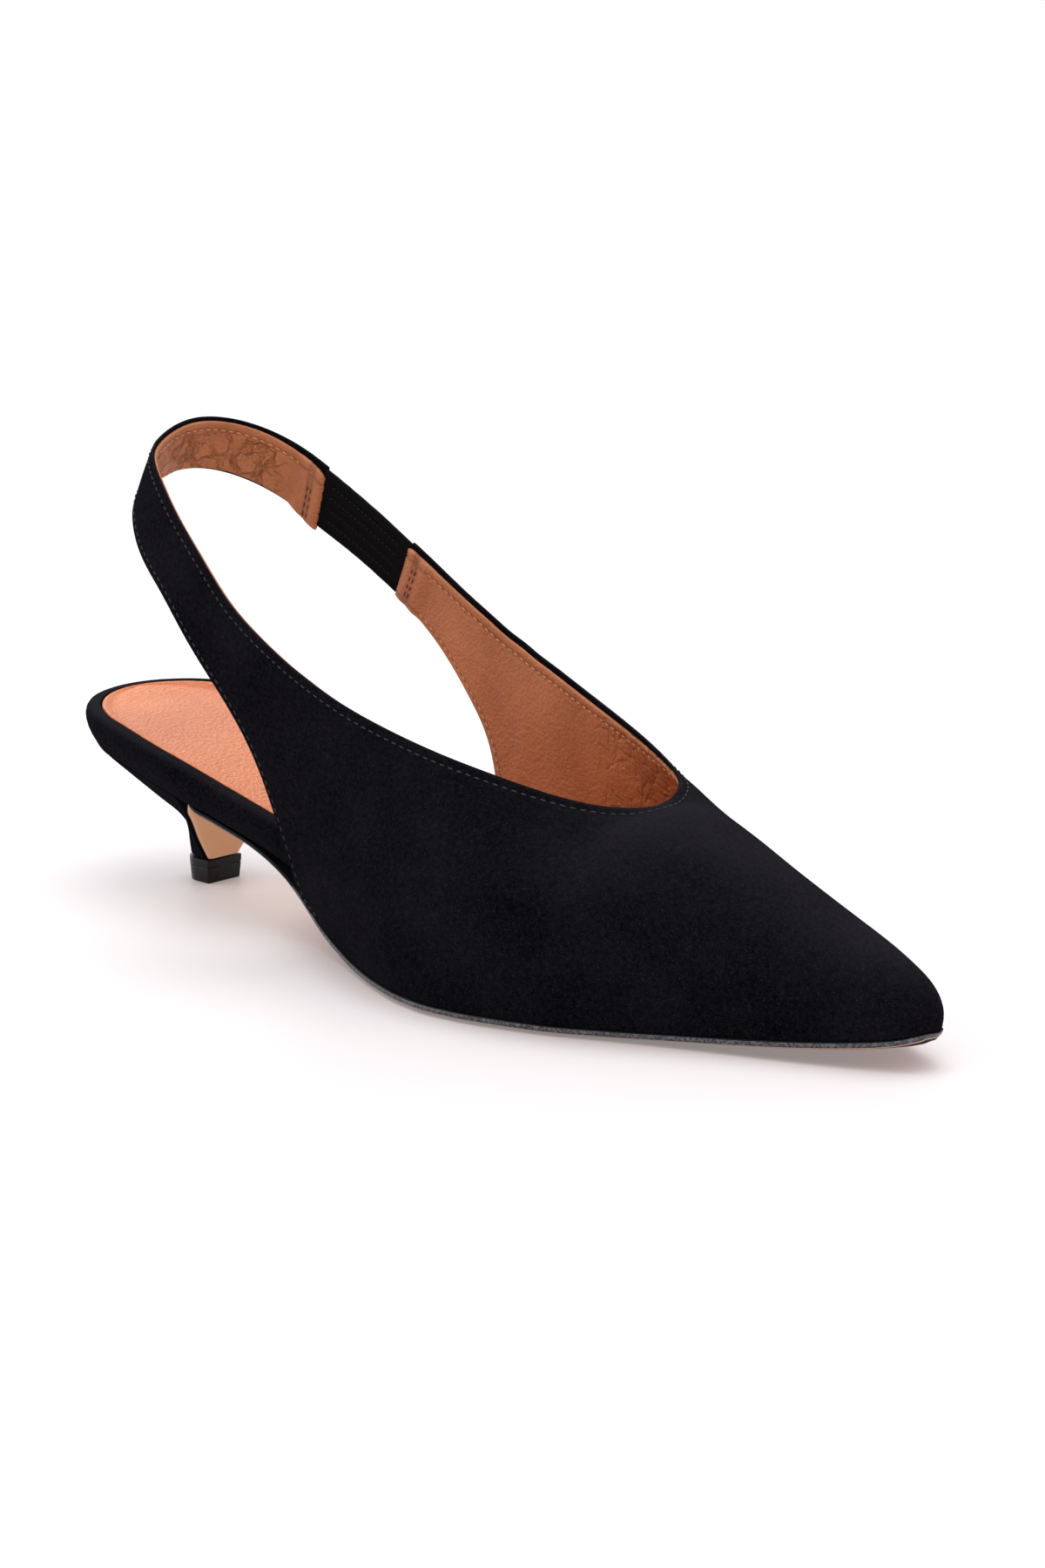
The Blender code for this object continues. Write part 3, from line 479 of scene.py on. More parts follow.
def sheetMesh(columns):
    index, points, faces, grid = {}, [], [], []
    for column in columns:
        line = []
        for p in column:
            key = tuple(np.round(np.array(p) / meshLook["samePoint"]).astype(int))
            if key not in index:
                index[key] = len(points)
                points.append(np.array(p, float))
            line.append(index[key])
        grid.append(line)
    for a, b in zip(grid[:-1], grid[1:]):
        for j in range(len(a) - 1):
            ring = []
            for k in (a[j], b[j], b[j + 1], a[j + 1]):
                if k not in ring:
                    ring.append(k)
            if len(ring) > 2:
                faces.append(ring)
    mesh = bpy.data.meshes.new("coarse")
    mesh.from_pydata([tuple(p) for p in points], [], faces)
    item = bpy.data.objects.new("coarse", mesh)
    bpy.context.scene.collection.objects.link(item)
    refine = item.modifiers.new("refine", "SUBSURF")
    refine.levels = refine.render_levels = meshLook["refine"]
    refine.boundary_smooth = "PRESERVE_CORNERS"
    made = item.evaluated_get(bpy.context.evaluated_depsgraph_get()).to_mesh()
    verts = np.zeros(len(made.vertices) * 3)
    made.vertices.foreach_get("co", verts)
    polys = [tuple(p.vertices) for p in made.polygons]
    bpy.data.objects.remove(item)
    bpy.data.meshes.remove(mesh)
    return verts.reshape(-1, 3), polys


def vertexNormals(verts, polys):
    normals = np.zeros_like(verts)
    quads = np.array([p for p in polys if len(p) == 4])
    rest = [p for p in polys if len(p) != 4]
    cross = np.cross(verts[quads[:, 2]] - verts[quads[:, 0]], verts[quads[:, 3]] - verts[quads[:, 1]])
    for k in range(4):
        np.add.at(normals, quads[:, k], cross)
    for p in rest:
        n = np.cross(verts[p[1]] - verts[p[0]], verts[p[2]] - verts[p[0]])
        for k in p:
            normals[k] += n
    return normals / np.maximum(np.linalg.norm(normals, axis=1), 1e-9)[:, None]


def nearestDistance(points, line):
    line = np.array(line)
    out = np.zeros(len(points))
    for first in range(0, len(points), 4000):
        block = points[first:first + 4000]
        out[first:first + 4000] = np.sqrt(((block[:, None] - line[None]) ** 2).sum(2).min(1))
    return out


def finishMesh(name, points, faces, materials, faceSlots=None, attributes=None):
    mesh = bpy.data.meshes.new(name)
    place = (np.asarray(points, float) - (last["heelAxis"], 0, 0)) * mm
    mesh.from_pydata([tuple(p) for p in place], [], faces)
    mesh.update()
    for mat in materials:
        mesh.materials.append(mat)
    mesh.polygons.foreach_set("use_smooth", [True] * len(mesh.polygons))
    if faceSlots is not None:
        mesh.polygons.foreach_set("material_index", faceSlots)
    for key, values in (attributes or {}).items():
        mesh.attributes.new(key, "FLOAT", "POINT").data.foreach_set("value", np.asarray(values, float))
    item = bpy.data.objects.new(name, mesh)
    bpy.context.scene.collection.objects.link(item)
    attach(item, "root")
    return item


def shell(name, verts, polys, normals, outer, inner, material, attributes=None):
    # outer and inner are offsets along the normal, a number or one for each point
    count = len(verts)
    outer = np.broadcast_to(outer, (count,))
    inner = np.broadcast_to(inner, (count,))
    edges = {}
    for ring in polys:
        for i in range(len(ring)):
            a, b = ring[i], ring[(i + 1) % len(ring)]
            if (b, a) in edges:
                del edges[(b, a)]
            else:
                edges[(a, b)] = True
    away = {}
    for a, b in edges:
        t = unit(verts[b] - verts[a])
        for k in (a, b):
            away[k] = away.get(k, np.zeros(3)) + np.cross(t, normals[k])
    points = np.vstack([verts + normals * outer[:, None], verts + normals * inner[:, None]])
    extra, place = [], {}
    for k, direction in away.items():
        half = (outer[k] - inner[k]) / 2
        middle = verts[k] + normals[k] * (outer[k] + inner[k]) / 2
        place[k] = [k]
        for angle in (45, 90, 135):
            a = math.radians(angle)
            place[k].append(2 * count + len(extra))
            rounding = unit(direction) * meshLook["edgeRound"] * math.sin(a)
            extra.append(middle + half * (normals[k] * math.cos(a) + rounding))
        place[k].append(k + count)
    faces = list(polys) + [tuple(k + count for k in ring[::-1]) for ring in polys]
    for a, b in edges:
        for r in range(4):
            faces.append((place[b][r], place[a][r], place[a][r + 1], place[b][r + 1]))
    allAttributes = {}
    for key, values in (attributes or {}).items():
        values = np.asarray(values)
        more = [values[k] for k in away for _ in range(3)]
        allAttributes[key] = np.concatenate([values, values, more])
    return finishMesh(name, np.vstack([points, extra]), faces, [material], None, allAttributes)


class Shape:
    def __init__(self):
        self.points, self.faces, self.slots = [], [], []

    def add(self, points):
        first = len(self.points)
        self.points += [tuple(float(v) for v in p) for p in points]
        return list(range(first, first + len(points)))

    def face(self, ring, slot=0):
        self.faces.append(tuple(ring))
        self.slots.append(slot)

    def band(self, low, high, closed=True, slot=0):
        for i in range(len(low) if closed else len(low) - 1):
            j = (i + 1) % len(low)
            self.face((low[i], low[j], high[j], high[i]), slot)

    def cap(self, ring, flip, slot=0):
        count = len(ring) // 2 + 1
        left, right = ring[:count], [ring[0]] + ring[:count - 1:-1] + [ring[count - 1]]
        for i in range(count - 1):
            face = (left[i], left[i + 1], right[i + 1], right[i])
            self.face(face[::-1] if flip else face, slot)

    def make(self, name, materials, sharp=40):
        # drops repeated corners, then smooths every edge flatter than the given angle
        faces, slots = [], []
        for ring, slot in zip(self.faces, self.slots):
            kept = []
            for k in ring:
                gaps = [np.linalg.norm(np.subtract(self.points[k], self.points[j])) for j in kept]
                if all(gap > meshLook["corner"] for gap in gaps):
                    kept.append(k)
            if len(kept) > 2:
                faces.append(kept)
                slots.append(slot)
        item = finishMesh(name, self.points, faces, materials, slots)
        weld = item.modifiers.new("weld", "WELD")
        weld.merge_threshold = meshLook["weld"] * mm
        bpy.context.view_layer.objects.active = item
        item.select_set(True)
        bpy.ops.object.modifier_apply(modifier="weld")
        bpy.ops.object.shade_smooth_by_angle(angle=math.radians(sharp))
        item.select_set(False)
        return item


# materials
def newMaterial(name, color, rough, specular=0.3):
    mat = bpy.data.materials.new(name)
    mat.use_nodes = True
    shader = mat.node_tree.nodes["Principled BSDF"]
    shader.inputs["Base Color"].default_value = (*color, 1)
    shader.inputs["Roughness"].default_value = rough
    shader.inputs["Specular IOR Level"].default_value = specular
    mat.diffuse_color = (*color, 1)
    return mat, mat.node_tree, shader


def node(tree, kind, **settings):
    made = tree.nodes.new(kind)
    for key, value in settings.items():
        if key in made.inputs:
            made.inputs[key].default_value = value
        else:
            setattr(made, key, value)
    return made


def noise(tree, coords, scale, detail=4.0, rough=0.6):
    made = node(tree, "ShaderNodeTexNoise", Scale=scale, Detail=detail, Roughness=rough)
    tree.links.new(coords, made.inputs["Vector"])
    return made.outputs["Fac"]


def combine(tree, operation, a, b):
    made = node(tree, "ShaderNodeMath", operation=operation)
    for slot, value in ((0, a), (1, b)):
        if isinstance(value, (int, float)):
            made.inputs[slot].default_value = value
        else:
            tree.links.new(value, made.inputs[slot])
    return made.outputs[0]


def weighted(tree, a, aShare, b, bShare):
    return combine(tree, "ADD", combine(tree, "MULTIPLY", a, aShare), combine(tree, "MULTIPLY", b, bShare))


def above(tree, value, floor):
    # how far a value is over the floor, never less than nothing
    return combine(tree, "MAXIMUM", combine(tree, "SUBTRACT", value, floor), 0.0)


def cellular(tree, coords, scale, feature, result):
    made = node(tree, "ShaderNodeTexVoronoi", Scale=scale, feature=feature)
    tree.links.new(coords, made.inputs["Vector"])
    return made.outputs[result]


def ramp(tree, value, dark, light):
    # from one place and color to the other
    made = node(tree, "ShaderNodeValToRGB")
    for element, (place, color) in zip(made.color_ramp.elements, (dark, light)):
        element.position = place
        element.color = (*color, 1)
    tree.links.new(value, made.inputs["Fac"])
    return made.outputs["Color"]


def bump(tree, shader, height, strength, distance):
    made = node(tree, "ShaderNodeBump", Strength=strength, Distance=distance)
    tree.links.new(height, made.inputs["Height"])
    tree.links.new(made.outputs["Normal"], shader.inputs["Normal"])


suedeLook = {
    "dark": (0.0012, 0.0010, 0.0018),
    "light": (0.0150, 0.0140, 0.0180),
    "roughness": 0.95,
    "specular": 0.0,
    "sheen": 0.012,
    "sheenRoughness": 0.5,
    "sheenTint": (0.85, 0.82, 0.95),
    "fibreScale": 2600.0,
    "napScale": 900.0,
    "cloudScale": 38.0,
    "speckFrom": 0.58,
    "speck": 3.0,
    # painted highlight: how much lighter the leather is painted where it faces up
    "lift": 0.34,
    "bump": 0.5,
}


def suedeMaterial(name):
    look = suedeLook
    mat, tree, shader = newMaterial(name, look["dark"], look["roughness"], look["specular"])
    shader.inputs["Sheen Weight"].default_value = look["sheen"]
    shader.inputs["Sheen Roughness"].default_value = look["sheenRoughness"]
    shader.inputs["Sheen Tint"].default_value = (*look["sheenTint"], 1)
    coords = node(tree, "ShaderNodeTexCoord").outputs["Object"]
    fibre = noise(tree, coords, look["fibreScale"], 3.0, 0.7)
    nap = noise(tree, coords, look["napScale"], 5.0, 0.7)
    cloud = noise(tree, coords, look["cloudScale"], 3.0, 0.5)
    mixed = weighted(tree, nap, 0.6, cloud, 0.4)
    # painted highlight: the leather's colour is made lighter where it faces up, standing in for the light from above
    normal = node(tree, "ShaderNodeSeparateXYZ")
    tree.links.new(node(tree, "ShaderNodeNewGeometry").outputs["Normal"], normal.inputs[0])
    paintedTopLight = combine(tree, "POWER", combine(tree, "MAXIMUM", normal.outputs["Z"], 0.0), 3.0)
    mixed = weighted(tree, mixed, 1.0, paintedTopLight, look["lift"])
    speck = above(tree, noise(tree, coords, look["fibreScale"], 2.0, 0.5), look["speckFrom"])
    mixed = weighted(tree, mixed, 1.0, speck, look["speck"])
    tone = ramp(tree, mixed, (0.38, look["dark"]), (0.95, look["light"]))
    tree.links.new(tone, shader.inputs["Base Color"])
    bump(tree, shader, weighted(tree, fibre, 0.5, nap, 1.0), look["bump"], 0.0003)
    return mat


liningLook = {
    "dark": (0.33, 0.105, 0.036),
    "light": (0.47, 0.165, 0.064),
    "seamShade": (0.35, 0.28, 0.25),
    "roughness": 0.46,
    "specular": 0.4,
    "grainScale": 1100.0,
    "poreScale": 1800.0,
    "cloudScale": 60.0,
    "warpScale": 190.0,
    "warp": 0.006,
    "wrinkleScale": 210.0,
    "patchScale": 130.0,
    "patchFrom": 0.3,
    "grainBump": 0.22,
    "wrinkleBump": 1.15,
}


def liningMaterial(name):
    look = liningLook
    mat, tree, shader = newMaterial(name, look["light"], look["roughness"], look["specular"])
    coords = node(tree, "ShaderNodeTexCoord").outputs["Object"]
    grain = cellular(tree, coords, look["grainScale"], "F1", "Distance")
    pores = noise(tree, coords, look["poreScale"], 3.0, 0.6)
    cloud = noise(tree, coords, look["cloudScale"], 4.0, 0.55)
    tone = ramp(tree, weighted(tree, cloud, 0.7, pores, 0.3), (0.32, look["dark"]), (0.62, look["light"]))
    # darker along the seams
    pressed = node(tree, "ShaderNodeAttribute", attribute_name="seam").outputs["Fac"]
    shade = node(tree, "ShaderNodeMix", data_type="RGBA", blend_type="MULTIPLY")
    tree.links.new(combine(tree, "MULTIPLY", pressed, 0.6), shade.inputs["Factor"])
    tree.links.new(tone, shade.inputs["A"])
    shade.inputs["B"].default_value = (*look["seamShade"], 1)
    tree.links.new(shade.outputs["Result"], shader.inputs["Base Color"])
    # wrinkles are the edges of warped cells, broken up by soft patches
    warp = node(tree, "ShaderNodeTexNoise", Scale=look["warpScale"], Detail=3.0, Roughness=0.6)
    tree.links.new(coords, warp.inputs["Vector"])
    shift = node(tree, "ShaderNodeVectorMath", operation="MULTIPLY_ADD")
    tree.links.new(warp.outputs["Color"], shift.inputs[0])
    shift.inputs[1].default_value = (look["warp"], look["warp"], look["warp"])
    tree.links.new(coords, shift.inputs[2])
    cells = cellular(tree, shift.outputs[0], look["wrinkleScale"], "DISTANCE_TO_EDGE", "Distance")
    valley = combine(tree, "MINIMUM", combine(tree, "MULTIPLY", cells, 5.0), 1.0)
    patch = above(tree, noise(tree, coords, look["patchScale"], 2.0), look["patchFrom"])
    patch = combine(tree, "MINIMUM", combine(tree, "MULTIPLY", patch, 4.0), 1.0)
    crumpled = node(tree, "ShaderNodeAttribute", attribute_name="crumple").outputs["Fac"]
    depth = combine(tree, "MULTIPLY", crumpled, patch)
    wrinkle = combine(tree, "MULTIPLY", combine(tree, "SUBTRACT", valley, 1.0), depth)
    fine = weighted(tree, grain, 0.6, pores, 0.4)
    bump(tree, shader, weighted(tree, wrinkle, look["wrinkleBump"], fine, look["grainBump"]), 1.0, 0.0013)
    return mat


sockLook = {
    "dark": (0.53, 0.132, 0.037),
    "light": (0.69, 0.205, 0.064),
    "roughness": 0.40,
    "specular": 0.40,
    "poreScale": 950.0,
    "fineScale": 1500.0,
    "cloudScale": 30.0,
    "bump": 0.9,
}


def sockMaterial(name):
    look = sockLook
    mat, tree, shader = newMaterial(name, look["light"], look["roughness"], look["specular"])
    coords = node(tree, "ShaderNodeTexCoord").outputs["Object"]
    pores = cellular(tree, coords, look["poreScale"], "F1", "Distance")
    fine = noise(tree, coords, look["fineScale"], 3.0, 0.6)
    cloud = noise(tree, coords, look["cloudScale"], 3.0, 0.5)
    tone = ramp(tree, weighted(tree, cloud, 0.6, fine, 0.4), (0.30, look["dark"]), (0.60, look["light"]))
    tree.links.new(tone, shader.inputs["Base Color"])
    bump(tree, shader, weighted(tree, pores, 0.7, fine, 0.5), look["bump"], 0.0005)
    return mat


# painted highlight: the sole edge's burnished band is glossy, and its lighter speckled grey colour stands in for the
# highlight line along it
edgeHighlightLook = {"dark": (0.006, 0.006, 0.009), "light": (0.13, 0.13, 0.16),
               "roughness": 0.34, "specular": 0.5,
               "scale": 1500.0, "bump": 0.5}


def edgeHighlightMaterial(name):
    look = edgeHighlightLook
    mat, tree, shader = newMaterial(name, look["light"], look["roughness"], look["specular"])
    coords = node(tree, "ShaderNodeTexCoord").outputs["Object"]
    speck = noise(tree, coords, look["scale"], 4.0, 0.7)
    # the lighter speckles are the painted highlight
    tone = ramp(tree, speck, (0.42, look["dark"]), (0.68, look["light"]))
    tree.links.new(tone, shader.inputs["Base Color"])
    bump(tree, shader, speck, look["bump"], 0.0002)
    return mat


def plainMaterial(name, color, rough, specular, scale, strength):
    mat, tree, shader = newMaterial(name, color, rough, specular)
    coords = node(tree, "ShaderNodeTexCoord").outputs["Object"]
    bump(tree, shader, noise(tree, coords, scale, 3.0, 0.6), strength, 0.0002)
    return mat


# color, roughness, specular, grain scale, grain strength
plainLooks = {
    "soleLeather": ((0.681, 0.373, 0.199), 0.5, 0.4, 500.0, 0.12),
    "edgeInk": ((0.0035, 0.0035, 0.0045), 0.5, 0.12, 1500.0, 0.4),
    "blackPlastic": ((0.0035, 0.0035, 0.0045), 0.36, 0.22, 1600.0, 0.12),
    "elasticWeave": ((0.0025, 0.0025, 0.003), 0.9, 0.08, 1800.0, 0.6),
    "darkThread": ((0.022, 0.023, 0.028), 0.7, 0.3, 3000.0, 0.2),
    "brownThread": ((0.13, 0.045, 0.018), 0.6, 0.3, 3000.0, 0.2),
    "tanThread": ((0.60, 0.27, 0.12), 0.6, 0.3, 3000.0, 0.2),
    "elasticThread": ((0.009, 0.0095, 0.012), 0.7, 0.2, 3000.0, 0.2),
}
plain = {name: plainMaterial(name, *look) for name, look in plainLooks.items()}
suede = suedeMaterial("suede")
lining = liningMaterial("lining")
sockLeather = sockMaterial("sockLeather")
paintedEdgeHighlight = edgeHighlightMaterial("paintedEdgeShine")
print("stage: materials made")


# upper
upperLook = {
    "suedeInner": -0.85,
    "liningOuter": -0.9,
    "liningInner": -1.8,
    "dropTab": 1.6,  # the lining ends this far below the suede's edge
    "dropBack": 0.75,
    "dropNear": 0.7,
    "dropWing": 1.1,
    "dropThroat": 0.7,
    "dropLow": 0.5,
    "seamInset": 1.9,
    "seamDepth": 0.14,
    "liningSeamDepth": 0.2,
    "wingSeam": 1.6,
    "lowSeamShare": 0.85,
    "tabCorner": 1.3,
    "tabColumns": 7,
    "tabPuff": 0.6,
    "tabPuffEnd": (7, 10),
    "tabRows": (3.1, 4.3),
    "tabGroove": 0.25,
    "tabRoll": 0.9,
    "tabRollWidth": 1.4,
}
foldLook = {
    "depth": 0.22,
    "still": 0.06,
    "strap": (44, 58),  # folds end between these stations
    "tab": (11, 17),  # and start between these distances from the tab's end
    "seam": (2.0, 3.5),
    "toe": (130, 165),
    "toeShare": 0.3,
    "toeSide": -10,
    "bend": (3.0, 7.0),
    "large": (4.6, 0.8),
    "small": (2.4, 0.5),
    "sharpness": 3.0,
}

columns, headEdge, footEdge, firstThroat, secondThroat = upperColumns()
suedeColumns = [respaced(c, 0, 0, h, f) for c, h, f in zip(columns, headEdge, footEdge)]
suedeVerts, suedePolys = sheetMesh(suedeColumns)
suedeNormals = vertexNormals(suedeVerts, suedePolys)
openTree = BVHTree.FromPolygons([tuple(v) for v in suedeVerts], suedePolys)


def lineOf(points, pitch=0.8):
    points = np.array(points)
    run = runAlong(points)
    where = np.linspace(0, run[-1], max(int(run[-1] / pitch), 2))
    return np.array([pointAt(w, run, points) for w in where])


def topSet(columnSet):
    # the columns whose heads are the topline, from the strap round the throat to the wing
    return columnSet[:firstThroat + 1] + columnSet[secondThroat + 1:]


strapCount = columnSteps["strap"]
wingStart = len(columns) - columnSteps["wing"]
topLine = lineOf([c[-1] for c in topSet(columns)])
strapLow = lineOf([c[0] for c in columns[:strapCount]])
wingLow = lineOf([c[0] for c in columns[wingStart:]])
strapEnd = lineOf(columns[0])
wingEnd = lineOf(columns[-1])

topDistance = nearestDistance(suedeVerts, topLine)
lowDistance = np.minimum(nearestDistance(suedeVerts, strapLow), nearestDistance(suedeVerts, wingLow))


def seamGroove(distance, inset, depth):
    groove = -depth * np.exp(-((distance - inset) / 0.55) ** 2)
    puff = 0.35 * depth * np.exp(-((distance - inset * 0.45) / 0.7) ** 2)
    return groove + puff


look = upperLook
lowInset = look["seamInset"] * look["lowSeamShare"]
outerOffset = seamGroove(topDistance, look["seamInset"], look["seamDepth"])
outerOffset = outerOffset + seamGroove(lowDistance, lowInset, look["seamDepth"])
suedeUpper = shell("suedeUpper", suedeVerts, suedePolys, suedeNormals, outerOffset,
                   look["suedeInner"], suede)
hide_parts("upper")

# how far the lining ends below the suede along the top line, from the tab round to the wing's end
dropAt = monotone([
    (0, look["dropTab"] + 1.2), (1.6, look["dropTab"]), (strapCount * 0.35, look["dropBack"]),
    (strapCount * 0.6, look["dropNear"]), (firstThroat - 12, look["dropNear"]),
    (firstThroat, look["dropThroat"]), (secondThroat, look["dropThroat"]),
    (secondThroat + 8, look["dropWing"]), (len(columns), look["dropWing"] * 1.3),
])
liningColumns = [respaced(c, float(dropAt(i)) * h, look["dropLow"] * f, h, f)
                 for i, (c, h, f) in enumerate(zip(columns, headEdge, footEdge))]
for i, c in enumerate(liningColumns[:look["tabColumns"]]):
    # the tab's lower corner pokes out below the strap
    reach = look["tabCorner"] * (1 - ease(i, 0, 5))
    down = unit(c[0] - c[3])
    for j in range(len(c)):
        c[j] = c[j] + down * reach * (1 - j / (len(c) - 1)) ** 2
liningVerts, liningPolys = sheetMesh(liningColumns)
liningNormals = vertexNormals(liningVerts, liningPolys)
liningTree = BVHTree.FromPolygons([tuple(v) for v in liningVerts], liningPolys)
liningTop = lineOf([c[-1] for c in topSet(liningColumns)])
endDistance = np.minimum(nearestDistance(liningVerts, strapEnd), nearestDistance(liningVerts, wingEnd))
liningTopDistance = nearestDistance(liningVerts, liningTop)
liningLow = np.minimum(nearestDistance(liningVerts, strapLow), nearestDistance(liningVerts, wingLow))
fold = foldLook
onStrap = 1 - ease(liningVerts[:, 0], *fold["strap"])
onStrap = onStrap * ease(nearestDistance(liningVerts, strapEnd), *fold["tab"])
crumple = fold["still"] + (1 - fold["still"]) * onStrap * ease(liningTopDistance, *fold["seam"])
inToe = ease(liningVerts[:, 0], *fold["toe"]) * (liningVerts[:, 1] > fold["toeSide"])
crumple = crumple + fold["toeShare"] * inToe
noiseLib.seed_set(7)  # or the folds would differ from run to run


def creased(place):
    # sharp valleys where a soft noise crosses its middle
    p = Vector(place)
    amount, size = foldLook["bend"]
    bent = p + amount * noiseLib.noise_vector(p / size)
    total = 0.0
    for size, share in (foldLook["large"], foldLook["small"]):
        total += share * (1 - min(abs(noiseLib.noise(bent / size)) * foldLook["sharpness"], 1))
    return total


folds = np.array([creased(p) if c > 0.1 else 0.0 for p, c in zip(liningVerts, crumple)])
innerOffset = look["liningInner"] - seamGroove(liningTopDistance, look["seamInset"], look["liningSeamDepth"])
innerOffset = innerOffset + fold["depth"] * folds * crumple
# the tab's end is padded, pressed down along its stitches and rolled at its edge
innerOffset = innerOffset - look["tabPuff"] * (1 - ease(endDistance, *look["tabPuffEnd"]))
innerOffset = innerOffset + look["tabGroove"] * np.exp(-((endDistance - 4.2) / 1.1) ** 2)
rolled = 1 - np.minimum(endDistance / look["tabRollWidth"], 1)
innerOffset = innerOffset + look["tabRoll"] * (1 - np.sqrt(1 - rolled ** 2))
seam = np.exp(-((liningTopDistance - look["seamInset"]) / 0.4) ** 2)
seam = np.maximum(seam, np.exp(-((liningLow - look["wingSeam"]) / 0.4) ** 2) * (liningVerts[:, 0] > 62))
for row in look["tabRows"]:
    seam = np.maximum(seam, 1.2 * np.exp(-((endDistance - row) / 0.4) ** 2))
liningSheet = shell("liningSheet", liningVerts, liningPolys, liningNormals, look["liningOuter"],
                    innerOffset, lining, {"crumple": crumple, "seam": seam})
print("stage: upper and lining built")


# platform, sock, sole, heel and its top piece, with rounded edges
platformLook = {
    "tuck": 4.0,
    "rim": 4.0,
    "sockEdge": 2.6,
    "dish": 1.6,
    "dishWidth": 12.0,
    "bareWall": 2.1,
    "bareTo": (62.0, 94.0),  # the upper's wall covers the platform from here on
    "tuckFade": (96, 135),
    "coverStep": 0.22,
    "steps": 150,
}
# share of the tuck, share of the height
platformSide = [(1.0, 0.0), (0.72, 0.07), (0.5, 0.2), (0.3, 0.35), (0.13, 0.5), (0.02, 0.66),
                (0.0, 0.78), (0.06, 0.88), (0.2, 0.955), (0.42, 0.99), (0.7, 1.0)]


def platformLoop(count):
    points = loop(last["seatBack"], last["length"], count, halfWidth)
    return inset(points, platformLook["bareWall"] * ease(points[:, 0], *platformLook["bareTo"]))


def lift(points, heights):
    return np.column_stack([points, np.broadcast_to(heights, (len(points),))])


def buildPlatform():
    look = platformLook
    edge = platformLoop(look["steps"])
    tuckShare = 0.25 + 0.75 * (1 - ease(edge[:, 0], *look["tuckFade"]))
    shape = Shape()
    rings = []
    for tuck, height in platformSide:
        line = inset(edge, look["tuck"] * tuck * tuckShare)
        low = np.array([underside(x) for x in line[:, 0]])
        high = np.array([sockHeight(x) for x in line[:, 0]])
        # the cover's turned edge shows as a soft step low on the bare side
        step = look["coverStep"] * np.exp(-((height - 0.16) / 0.05) ** 2) * (1 - ease(edge[:, 0], 70, 96))
        line = inset(line, step)
        rings.append(shape.add(lift(line, low + (high - low) * height)))
    rim = inset(edge, look["rim"])
    high = np.array([sockHeight(x) for x in rim[:, 0]])
    for cut, down in ((-0.2, 0.0), (0.0, 0.3), (0.0, look["sockEdge"] + 0.3)):
        line = inset(rim, cut)
        rings.append(shape.add(lift(line, high - down)))
    for a, b in zip(rings[:-1], rings[1:]):
        shape.band(a, b)
    shape.cap(rings[0], True)
    shape.cap(rings[-1], False)
    return shape.make("suedePlatform", [suede], 50)


sockShape = {"front": 246, "corner": 0.5, "cornerWidth": 0.7,
             "press": 0.55, "pressAt": 3.6, "pressWidth": 1.5}


def buildSock():
    # dished sheet with a rolled rim and a faint pressed line just inside it
    look, form = platformLook, sockShape
    edge = inset(platformLoop(look["steps"]), look["rim"] + 0.3)
    half = len(edge) // 2 + 1
    keep = [i for i in range(half) if edge[i][0] < form["front"]]
    left = edge[keep]
    right = np.array([edge[0]] + [edge[len(edge) - i] for i in keep[1:]])
    high = np.array([sockHeight(x) for x in left[:, 0]])
    width = np.maximum(np.linalg.norm(right - left, axis=1), 0.01)
    shape = Shape()
    distances = [0.12, 0.35, 0.7, 1.1, 1.6, 2.2, 3.0, 4.2, 6.0, 8.5, look["dishWidth"]]

    def depth(distance, x):
        size = np.minimum(distance / look["dishWidth"], 1)
        dish = look["dish"] * (1 - (1 - size) ** 2.2) * ease(x, last["seatBack"] + 2, last["seatBack"] + 16)
        turned = 1 - np.minimum(distance / form["cornerWidth"], 1)
        corner = form["corner"] * (1 - np.sqrt(1 - turned ** 2))
        press = form["press"] * np.exp(-((distance - form["pressAt"]) / form["pressWidth"]) ** 2)
        return dish + corner + press

    def across(share):
        row = left * (1 - share)[:, None] + right * share[:, None]
        near = np.minimum(share, 1 - share) * width
        return lift(row, high - depth(near, row[:, 0]))

    rows = [shape.add(lift(left, high - down)) for down in (look["sockEdge"], form["corner"])]
    for d in distances:
        rows.append(shape.add(across(np.minimum(d / width, 0.5))))
    start = np.minimum(look["dishWidth"] / width, 0.5)
    for s in (0.2, 0.35, 0.5, 0.65, 0.8):
        rows.append(shape.add(across(start + (1 - 2 * start) * s)))
    for d in distances[::-1]:
        rows.append(shape.add(across(1 - np.minimum(d / width, 0.5))))
    rows.append(shape.add(lift(right, high - form["corner"])))
    rows.append(shape.add(lift(right, high - look["sockEdge"])))
    for a, b in zip(rows, rows[1:] + rows[:1]):
        for i in range(len(left) - 1):
            shape.face((a[i], a[i + 1], b[i + 1], b[i]))
    return shape.make("sockSheet", [sockLeather], 60)


soleLook = {
    "thick": 2.3,
    "shank": 1.6,
    "flap": 1.6,
    "flapInset": 0.7,
    "ledge": 0.5,
    "tipLedge": 0.0,
    "tipPull": 1.5,
    "tipLength": 2.6,
    "bevel": 0.5,
    "steps": 150,
    "turnSteps": 90,
    "highlightRows": 112,  # rows from the toe whose whole edge band is burnished and painted lighter as a highlight
}
# share of the thickness from the bottom, cut from the edge in bevels
soleEdge = [(1.0, 0.9), (0.9, 0.3), (0.76, 0.05), (0.62, 0.0), (0.50, 0.1), (0.42, 0.45),
            (0.34, 1.0), (0.24, 2.4), (0.12, 5.0), (0.0, 9.0)]
# turn into the heel's flap: outer station, drop, inner station, drop, lateral half, medial half
soleTurn = [(57.0, 0.0, 57.0, 0.0, 25.9, 23.3), (54.5, 0.0, 54.5, 0.0, 26.0, 23.5),
            (52.0, 0.0, 52.0, 0.0, 25.8, 23.8), (49.6, 0.2, 48.4, 0.0, 24.6, 23.4),
            (47.8, 0.9, 46.2, 0.3, 22.8, 22.4)]


